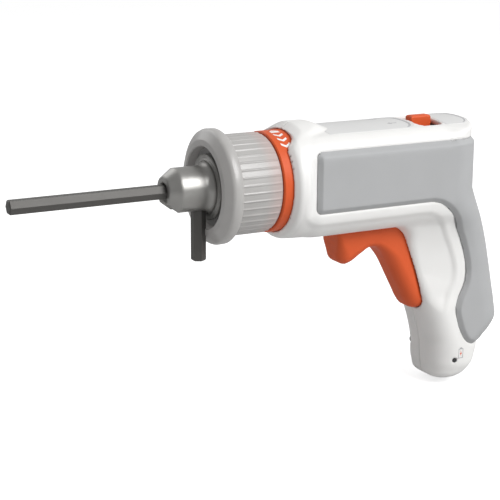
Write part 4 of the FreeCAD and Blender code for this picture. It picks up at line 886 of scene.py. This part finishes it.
def padlock(turn):
    """Small padlock: a body and half a ring above it."""
    top = turn - PADLOCK_TALL / 2
    foot = turn + PADLOCK_TALL / 2
    left = MARK_X - PADLOCK_HALF
    right = MARK_X + PADLOCK_HALF
    shapes = [[(left, top), (left, foot), (right, foot), (right, top)]]
    bow = [math.pi * step / BOW_STEPS for step in range(BOW_STEPS + 1)]
    for start, end in zip(bow, bow[1:]):
        shapes.append([
            (MARK_X + reach * math.cos(at), top - BOW_RISE * reach * math.sin(at))
            for at, reach in ((start, BOW_R), (end, BOW_R), (end, BOW_BORE_R), (start, BOW_BORE_R))
        ])
    return shapes


white_ink = moulded("white_ink", (0.86, 0.86, 0.85), (0.9, 0.9, 0.89), 0.5, 0.3, 0.004)
marks = padlock(PADLOCK_TURN)
for turn in CHEVRON_TURNS:
    marks.extend(chevron(turn))
printed("pointer_marks", marks, on_pointer, white_ink, "housing", "orange_plastic")

# Lock collar: a ribbed ring of frosted clear plastic with a broad flange and an open mouth.
# It is turned by hand on the housing's neck; forty fine ribs catch the light along it.
COLLAR_FRONT_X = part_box("lock_collar")[1].x / MM
COLLAR_R = 22.5
COLLAR_BORE_R = 19.6
RIB_COUNT = 40
RIB_H = 0.55
RIB_SPREAD = 0.85
RIB_STEPS = 14
MOUTH_X = COLLAR_FRONT_X + 7.9
MOUTH_R = 18.6
FLANGE_R = 26.3
FLANGE_STEPS = 144


def frosted():
    """Cloudy clear plastic with a faint painted glow all over for light through it, and painted orange
    light near its rear end, next to the orange ring.
    """
    material, wire, shader = new_finish(
        "frosted_clear", Coat_Weight=0.4, Coat_Roughness=0.25,
        # Faint emission: painted glow that stands in for light coming through the clear plastic.
        Emission_Color=(0.92, 0.88, 0.86, 1), Emission_Strength=0.06,
    )
    place = wire.node("TexCoord", output="Object")
    x = wire.node("SeparateXYZ", inputs={"Vector": place})
    clouds = noise(wire, 9.0)
    glow = 1 - x.between((RING_X + 2.0) * MM, (RING_X + 9.0) * MM)
    base = clouds.tint((0.34, 0.333, 0.323), (0.42, 0.413, 0.402))
    # Painted orange light: the base colour turns orange near the rear end, standing in for the ring's
    # light coming through.
    inputs = {"Factor": 0.16 * glow, 6: base, 7: (0.75, 0.28, 0.22, 1)}
    painted_orange_light = wire.node("Mix", output=2, inputs=inputs, data_type="RGBA")
    grain = noise(wire, 0.4, 3.0)
    feed(shader, Base_Color=painted_orange_light, Roughness=0.30 + 0.10 * grain, Normal=grain.bump(0.01, 0.4))
    return material


frosted_clear = frosted()
section = (
    (COLLAR_FRONT_X - 0.4, MOUTH_R),
    (COLLAR_FRONT_X - 0.4, COLLAR_R),
    (COLLAR_FRONT_X - 1.6, COLLAR_R),
    (RING_X + 1.6, COLLAR_R),
    (RING_X + 0.4, COLLAR_R - 0.3),
    (RING_X + 0.4, COLLAR_BORE_R),
    (COLLAR_FRONT_X - 3.8, COLLAR_BORE_R),
    (COLLAR_FRONT_X - 3.8, MOUTH_R),
)
points, quads = turned(section, RIB_COUNT * RIB_STEPS)
turn = np.degrees(np.arctan2(points[:, 1], points[:, 2])) % (360 / RIB_COUNT)
off = np.minimum(turn, 360 / RIB_COUNT - turn)
on_rib = np.isin(np.arange(len(points)) % len(section), (2, 3))
swell = 1 + on_rib * RIB_H * np.exp(-(off / RIB_SPREAD) ** 2) / COLLAR_R
points[:, 1:] *= swell[:, None]
new_piece(
    "ribbed_collar", points, quads, frosted_clear, "collar", "clear_grey", "lock_collar", crease=50
)

section = (
    (MOUTH_X - 0.5, MOUTH_R),
    (MOUTH_X, MOUTH_R + 0.5),
    (MOUTH_X - 0.2, MOUTH_R + 2.8),
    (MOUTH_X - 0.4, MOUTH_R + 3.2),
    (MOUTH_X - 0.8, MOUTH_R + 3.7),
    (MOUTH_X - 2.3, FLANGE_R - 1.1),
    (MOUTH_X - 2.9, FLANGE_R - 0.4),
    (MOUTH_X - 3.9, FLANGE_R),
    (MOUTH_X - 7.0, FLANGE_R - 0.1),
    (MOUTH_X - 7.6, FLANGE_R - 0.5),
    (COLLAR_FRONT_X, FLANGE_R - 1.2),
    (COLLAR_FRONT_X, COLLAR_R - 1.0),
    (COLLAR_FRONT_X, MOUTH_R),
)
points, quads = turned(section, FLANGE_STEPS)
new_piece("collar_rim", points, quads, frosted_clear, "collar", "clear_grey", "collar_flange", crease=40)

# Nose washer: a thin steel ring behind the nose that closes the gap to the sleeve in the mouth.
# It turns with the spindle and stops dirt at the sleeve's front.
WASHER_X = -20.6
WASHER_T = 0.8
WASHER_STEP = 0.3
WASHER_BORE_R = 11.4
WASHER_STEPS = 96
points, quads = turned(
    (
        (WASHER_X, WASHER_BORE_R),
        (WASHER_X, 13.0),
        (WASHER_X - WASHER_STEP, 13.3),
        (WASHER_X - WASHER_STEP, 14.6),
        (WASHER_X - WASHER_T, 15.0),
        (WASHER_X - WASHER_T, WASHER_BORE_R),
    ),
    WASHER_STEPS,
)
new_piece("nose_washer", points, quads, satin_steel, "spindle", "bright_steel", crease=30)

# Labels: two pale grey films on the arched top, in front of the slider and behind it.
# Two plain arrows and a band along each round end are printed on them in grey.
LABEL_HALF = 15.6
LABEL_PROUD = 0.15
LABEL_T = 0.5
LABEL_CORNER_R = 1.5
LABEL_ROUND_R = 8.0
LABEL_FRONT_X = FACE_X - 23.0
LABEL_REAR_X = SLIDER_FRONT_X + WELL_ROOM + 0.7
DECK_FRONT_X = SLIDER_FRONT_X - SLIDER_LENGTH - WELL_ROOM - 0.7
DECK_REAR_X = REAR_X + 0.5
LABEL_MESH = 0.4
BAND_STRIPS = 32
BAND_INSET = 1.2
ARROW_REACH = 2.6
ARROW_NECK = 0.6
ARROW_SHAFT_HALF = 0.35
ARROW_HEAD_HALF = 1.3


def film(front, rear, rear_r):
    """Field of a film that lies on the arch, square in front and round behind."""

    def field(x, y, z):
        plan = corner(np.abs(y) - LABEL_HALF, rear - x, rear_r)
        plan = corner(plan, x - front, LABEL_CORNER_R)
        height = crown(y, z)
        return np.maximum(corner(plan, height - LABEL_PROUD, LABEL_PROUD), -LABEL_T - height)

    return field


label_film = moulded("label_film", (0.70, 0.70, 0.695), (0.75, 0.75, 0.745), 0.34, 0.4, 0.006)
for name, front, rear, nodes in (
    ("front_label", LABEL_FRONT_X, LABEL_REAR_X, ("top_plate",)),
    ("rear_label", DECK_FRONT_X, DECK_REAR_X, ()),
):
    points, quads = skin_of(
        film(front, rear, LABEL_ROUND_R),
        (rear - 1.5, -LABEL_HALF - 1.5, BARREL_TOP - 4.0),
        (front + 1.5, LABEL_HALF + 1.5, BARREL_TOP + 1.5),
        LABEL_MESH,
    )
    new_piece(name, points, quads, label_film, "housing", "label_plate", *nodes)


def on_arch(x, y, height):
    reach = CROWN_R + LABEL_PROUD + height
    return (x, y, BARREL_TOP - CROWN_R + math.sqrt(reach ** 2 - y ** 2))


def end_band(rear, inset, width):
    """Band that follows a film's round end, as short strips."""
    strips = []
    flat = LABEL_HALF - LABEL_ROUND_R
    ends = []
    for step in range(BAND_STRIPS + 1):
        y = (2 * step / BAND_STRIPS - 1) * (LABEL_HALF - BAND_INSET)
        bend = max(abs(y) - flat, 0)
        ends.append((rear + inset + LABEL_ROUND_R - math.sqrt(LABEL_ROUND_R ** 2 - bend ** 2), y))
    for (ax, ay), (bx, by) in zip(ends, ends[1:]):
        strips.append([(ax, ay), (ax + width, ay), (bx + width, by), (bx, by)][::-1])
    return strips


def arrow(x, y, side):
    """Plain arrow along the barrel: a shaft and a head."""
    neck = x + ARROW_NECK
    tail = x - ARROW_REACH
    low = y - ARROW_SHAFT_HALF
    high = y + ARROW_SHAFT_HALF
    shaft = [(tail, low), (neck, low), (neck, high), (tail, high)]
    head = [(neck, y - ARROW_HEAD_HALF), (x + ARROW_REACH, y), (neck, y + ARROW_HEAD_HALF)]
    turned_round = [[(2 * x - u, 2 * y - v) for u, v in shape] for shape in (shaft, head)]
    return [shaft, head] if side > 0 else turned_round


grey_ink = moulded("grey_ink", (0.42, 0.42, 0.43), (0.48, 0.48, 0.49), 0.45, 0.3, 0.004)
marks = end_band(LABEL_REAR_X, 2.2, 1.3) + end_band(DECK_REAR_X, 1.6, 0.9)
marks += arrow(LABEL_REAR_X + 13.0, -6.5, -1) + arrow(LABEL_REAR_X + 11.0, 7.0, 1)
printed("label_marks", marks, on_arch, grey_ink, "housing", "label_plate")

# Charge marks: a small battery outline in grey ink with an orange bolt in it.
# They are printed beside the lamp on the left side of the foot.
BATTERY_X = LAMP_X - 3.2
BATTERY_Z = LAMP_Z + 3.3
BATTERY_HALF = 1.4
BATTERY_TALL = 2.5
BATTERY_LINE = 0.35
BATTERY_STUD = 0.6
HALVINGS = 26


def on_left(x, z, height):
    """Place on the left shell's outside, found by halving."""
    low = 2.0
    high = 30.0
    for _ in range(HALVINGS):
        middle = (low + high) / 2
        if white_skin(np.float64(x), np.float64(middle), np.float64(z)) < 0:
            low = middle
        else:
            high = middle
    return (x, low + height, z)


def box_lines(x, z, half, tall, line):
    """Four thin bars round a box, and a stud on top of it."""
    bars = []
    for left, right, low, high in (
        (-half, half, tall - line, tall),
        (-half, half, -tall, -tall + line),
        (-half, -half + line, -tall, tall),
        (half - line, half, -tall, tall),
        (-half / 2, half / 2, tall, tall + BATTERY_STUD),
    ):
        bar = [(left, low), (left, high), (right, high), (right, low)]
        bars.append([(x + u, z + v) for u, v in bar])
    return bars


printed(
    "battery_mark", box_lines(BATTERY_X, BATTERY_Z, BATTERY_HALF, BATTERY_TALL, BATTERY_LINE),
    on_left, grey_ink, "housing", "white_shell",
)
bolt = [(0.35, 1.7), (-0.65, -0.25), (0.0, -0.25), (-0.35, -1.7), (0.65, 0.25), (0.0, 0.25)]
bolt = [[(BATTERY_X + u, BATTERY_Z + v) for u, v in bolt[::-1]]]
printed("bolt_mark", bolt, on_left, orange_plastic, "housing", "orange_plastic")

# Shell screws: six zinc plated screws with pan heads and a cross recess.
# They are sunk in wells in the right half and cut their thread in the left one.
HEAD_R = 2.5
HEAD_T = 2.1
SHANK_R = 1.2
SHANK_END = 7.0
RECESS_HALF = 0.32
RECESS_REACH = 1.35
RECESS_T = 1.1
HEAD_EDGE_R = 0.6
SHANK_LAP = 1.0
SCREW_MESH = 0.2


def screw(x, y, z):
    reach = np.hypot(x, z)
    middle = -SCREW_SEAT - HEAD_T / 2
    head = corner(reach - HEAD_R, np.abs(y - middle) - HEAD_T / 2, HEAD_EDGE_R)
    shank = np.maximum(reach - SHANK_R, np.maximum(-SCREW_SEAT - y - SHANK_LAP, y - SHANK_END))
    one_arm = np.maximum(np.abs(x) - RECESS_HALF, np.abs(z) - RECESS_REACH)
    other_arm = np.maximum(np.abs(z) - RECESS_HALF, np.abs(x) - RECESS_REACH)
    recess = np.maximum(np.minimum(one_arm, other_arm), y + SCREW_SEAT + HEAD_T - RECESS_T)
    return np.maximum(np.minimum(head, shank), -recess)


points, quads = skin_of(screw, (-3.0, -12.0, -3.0), (3.0, 8.0, 3.0), SCREW_MESH)
all_points = np.concatenate([points + (REAR_X + spot_x, 0, spot_z) for spot_x, spot_z in SCREW_SPOTS])
all_quads = np.concatenate([quads + index * len(points) for index in range(len(SCREW_SPOTS))])
new_piece(
    "shell_screws", all_points, all_quads, zinc_plate, "housing", "screw_steel", "housing_screws",
    crease=35,
)

# Springs: wound from hard steel wire. One pushes the clamp sleeve forward and is pressed
# shorter as the collar turns; the other sits on the trigger's pin and pushes the trigger out.
SLEEVE_WIRE_R = 0.6
TRIGGER_WIRE_R = 0.35
SLEEVE_COILS = 5
TRIGGER_COILS = 4


def coil(radius, wire_r, turns, length):
    """Helix of round wire, along the first coordinate from 0 to its length."""
    around = np.linspace(0, 2 * math.pi * turns, 24 * turns + 1)[:, None]
    wind = np.radians(np.arange(0, 360, 45))
    along = wire_r + (length - 2 * wire_r) * around / around[-1] + wire_r * np.sin(wind)
    reach = radius + wire_r * np.cos(wind)
    points = np.stack([along, reach * np.cos(around), reach * np.sin(around)], axis=-1).reshape(-1, 3)
    rings = np.arange(len(points)).reshape(-1, 8)
    beside = np.roll(rings, -1, axis=1)
    quads = np.stack([rings[:-1], beside[:-1], beside[1:], rings[1:]], axis=-1).reshape(-1, 4)
    return points, quads.tolist() + [rings[0][::-1].tolist(), rings[-1].tolist()]


spring_wire = metal("spring_wire", (0.30, 0.30, 0.31), (0.40, 0.40, 0.41), 0.35, 0.2)
low, high = (np.array(end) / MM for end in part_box("sleeve_spring"))
points, faces = coil(high[2] - SLEEVE_WIRE_R, SLEEVE_WIRE_R, SLEEVE_COILS, high[0] - low[0])
spring = new_piece(
    "sleeve_coil", points + (low[0], 0, 0), faces, spring_wire, "spindle", "spring_steel",
    "sleeve_spring",
)
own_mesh(spring)
low, high = (np.array(end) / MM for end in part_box("trigger_spring"))
middle = (low + high) / 2
reach = (high[0] - low[0]) / 2 - TRIGGER_WIRE_R
points, faces = coil(reach, TRIGGER_WIRE_R, TRIGGER_COILS, high[1] - low[1])
points = points[:, (1, 0, 2)] * (-1, 1, 1) + (middle[0], low[1], middle[2])
new_piece(
    "trigger_coil", points, faces, spring_wire, "housing", "spring_steel", "trigger_spring"
)

# Studio: a pale floor that shows white to the camera and keeps the soft shadow, a large key light
# high on the tool's left, a weaker one on its right, and a plain sky of soft light.
FLOOR_Z = -HANDLE_DROP - 2.0
SKY_LEVEL = 0.42
SKY_LEAN = 0.55


def lamp(name, place, size, power):
    light = bpy.data.lights.new(name, "AREA")
    light.size = size
    light.energy = power
    made = bpy.data.objects.new(name, light)
    bpy.context.scene.collection.objects.link(made)
    made.location = place
    made.rotation_mode = "QUATERNION"
    made.rotation_quaternion = (-made.location).to_track_quat("-Z", "Y")


bpy.ops.mesh.primitive_plane_add(size=8.0, location=(0, 0, FLOOR_Z * MM))
floor = bpy.context.object
floor.name = "floor"
floor_paint, wire, shader = new_finish("floor_paint", Roughness=0.9, Emission_Strength=0.72)
seen = wire.node("LightPath", output="Is Camera Ray")
feed(
    shader,
    Base_Color=noise(wire, 400.0).tint((0.56, 0.56, 0.56), (0.60, 0.60, 0.60)),
    Emission_Color=seen.tint((0, 0, 0), (1, 1, 1)),
)
floor.data.materials.append(floor_paint)

world = bpy.data.worlds.new("soft_sky")
bpy.context.scene.world = world
world.use_nodes = True
sky = world.node_tree.nodes["Background"]
sky.inputs["Color"].default_value = (1, 1, 1, 1)
wire = Wire(world.node_tree)
seen = wire.node("LightPath", output="Is Camera Ray")
aim = wire.node("TexCoord", output="Generated")
forward = wire.node("SeparateXYZ", inputs={"Vector": aim})
glow = SKY_LEVEL * (1 - SKY_LEAN * forward)
world.node_tree.links.new((glow + (1 - glow) * seen).socket, sky.inputs["Strength"])
lamp("key_light", (-0.55, 1.0, 0.9), 0.9, 18.0)
lamp("fill_light", (0.3, -1.1, 0.7), 1.0, 4.0)

# Camera: the photograph's own viewpoint, to the front left of the tool and a little above it.
# It was fitted to the key, the nose and the circles of the collar and the ring.
CAMERA_PLACE = (248.25, 554.16, 128.42)
CAMERA_RIGHT = (-0.88526, 0.46510, 0.00264)
CAMERA_UP = (-0.11293, -0.22046, 0.96886)
CAMERA_BACK = (0.45119, 0.85738, 0.24768)
view = bpy.data.cameras.new("photo_view")
view.sensor_width = 36.0
view.lens = 100.8
view.clip_start = 0.01
camera = bpy.data.objects.new("photo_view", view)
bpy.context.scene.collection.objects.link(camera)
turn = Matrix((CAMERA_RIGHT, CAMERA_UP, CAMERA_BACK)).transposed()
camera.matrix_world = Matrix.Translation([MM * c for c in CAMERA_PLACE]) @ turn.to_4x4()
bpy.context.scene.camera = camera
bpy.context.scene.view_settings.view_transform = "Standard"
